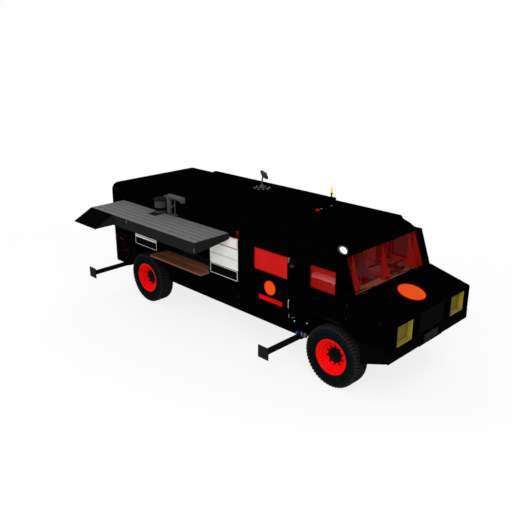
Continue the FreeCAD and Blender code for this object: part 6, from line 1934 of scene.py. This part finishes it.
class TRUCK_OT_rear_and_left(bpy.types.Operator):
    """Tail lamps, blank plate and door panels, and the left side's vents, inlet and lamps"""
    bl_idname = "truck.rear_and_left"
    bl_label = "Rear and left side"

    def execute(self, context):
        self.tail()
        self.left()
        return {"FINISHED"}

    def tail(self):
        red, white, bezels = [], [], []
        for side in (-1, 1):
            for z, group in ((1.02, red), (1.13, white)):
                middle = Vector((TAIL, side * 0.86, z))
                group.append(rod(middle, middle - X * 0.016, 0.040, 36, 0.008))
                bezels.append(ring(middle, X, 0.043, 0.0045, 40, 8))
            red.append(block((TAIL - 0.010, side * 0.98 - 0.045, 2.235),
                             (TAIL + 0.002, side * 0.98 + 0.045, 2.265), 0.006))
        finished(red, "tail_lamps", "red_lens")
        finished(white, "reversing_lamps", "white_lens")
        finished(bezels, "tail_bezels", "chrome")
        plate = block((TAIL - 0.006, 0.44, 0.98), (TAIL, 0.78, 1.10), 0.002)
        finished(plate, "rear_blank_plate", "plate_grey")
        bead = border("X", TAIL - 0.001, (-0.404, 0.962), (0.404, 2.148), 0.006, 0.02)
        finished(bead, "rear_door_seal", "seal")
        panels = [block((TAIL - 0.005, -0.30, low), (TAIL + 0.002, 0.30, high), 0.006)
                  for low, high in ((1.62, 2.04), (1.04, 1.36))]
        finished(panels, "rear_door_panels", "body", "rear_door_leaf")

    def left(self):
        """Louvred vents, a capped inlet, a filler and marker lamps on the plain left wall."""
        face = HALF
        vents = []
        z, width, height = 1.36, 0.46, 0.30
        for x in (0.62, 2.10):
            vents.append(block((x, face - 0.002, z), (x + width, face + 0.007, z + height), 0.003))
            slat = block((x + 0.03, face + 0.004, z), (x + width - 0.03, face + 0.016, z + 0.020),
                         0.005)
            vents += along(slat, [(0, 0, 0.028 + 0.036 * i) for i in range(7)])
        finished(vents, "left_vents", "trim")
        inlet = [block((-0.86, face - 0.002, 1.28), (-0.70, face + 0.012, 1.44), 0.012, 3),
                 rod((-0.78, face + 0.010, 1.36), (-0.78, face + 0.026, 1.36), 0.045, 40, 0.005)]
        finished(inlet, "power_inlet", "trim")
        filler = rod((4.30, face, 1.20), (4.30, face + 0.014, 1.20), 0.060, 48, 0.005)
        slot = block((4.27, face + 0.012, 1.194), (4.33, face + 0.017, 1.206), 0.002)
        finished([filler, slot], "filler_cap", "steel")
        lamps = [block((x, face - 0.002, 2.26), (x + 0.09, face + 0.012, 2.285), 0.006, 3)
                 for x in (-0.9, 0.6, 2.1, 3.6)]
        finished(lamps, "left_markers", "amber_lens")


STEPS = (TRUCK_OT_stage, TRUCK_OT_panels, TRUCK_OT_seams, TRUCK_OT_wheels, TRUCK_OT_running_gear,
         TRUCK_OT_nose, TRUCK_OT_windows, TRUCK_OT_doors, TRUCK_OT_awning, TRUCK_OT_counter,
         TRUCK_OT_kitchen, TRUCK_OT_interior, TRUCK_OT_seats, TRUCK_OT_roof, TRUCK_OT_rear_and_left)


# ------------------------------------------------------------------ panel and registration

class TRUCK_PT_panel(bpy.types.Panel):
    """Sizes, colours and the steps of the truck's making"""
    bl_idname = "TRUCK_PT_panel"
    bl_label = "Food truck"
    bl_space_type = "VIEW_3D"
    bl_region_type = "UI"
    bl_category = "Food truck"

    def draw(self, context):
        for settings in (context.scene.truck_sizes, context.scene.truck_colours):
            for name in settings.__annotations__:
                self.layout.prop(settings, name)
        for step in STEPS:
            self.layout.operator(step.bl_idname)


CLASSES = (TruckColours, TruckSizes, *STEPS, TRUCK_PT_panel)


def register():
    for kind in CLASSES:
        bpy.utils.register_class(kind)
    bpy.types.Scene.truck_colours = PointerProperty(type=TruckColours)
    bpy.types.Scene.truck_sizes = PointerProperty(type=TruckSizes)


def unregister():
    del bpy.types.Scene.truck_sizes
    del bpy.types.Scene.truck_colours
    for kind in reversed(CLASSES):
        bpy.utils.unregister_class(kind)


def main():
    register()
    make_finishes(bpy.context.scene.truck_colours)
    for step in STEPS:
        group, name = step.bl_idname.split(".")
        getattr(getattr(bpy.ops, group), name)()


if __name__ == "__main__":
    main()
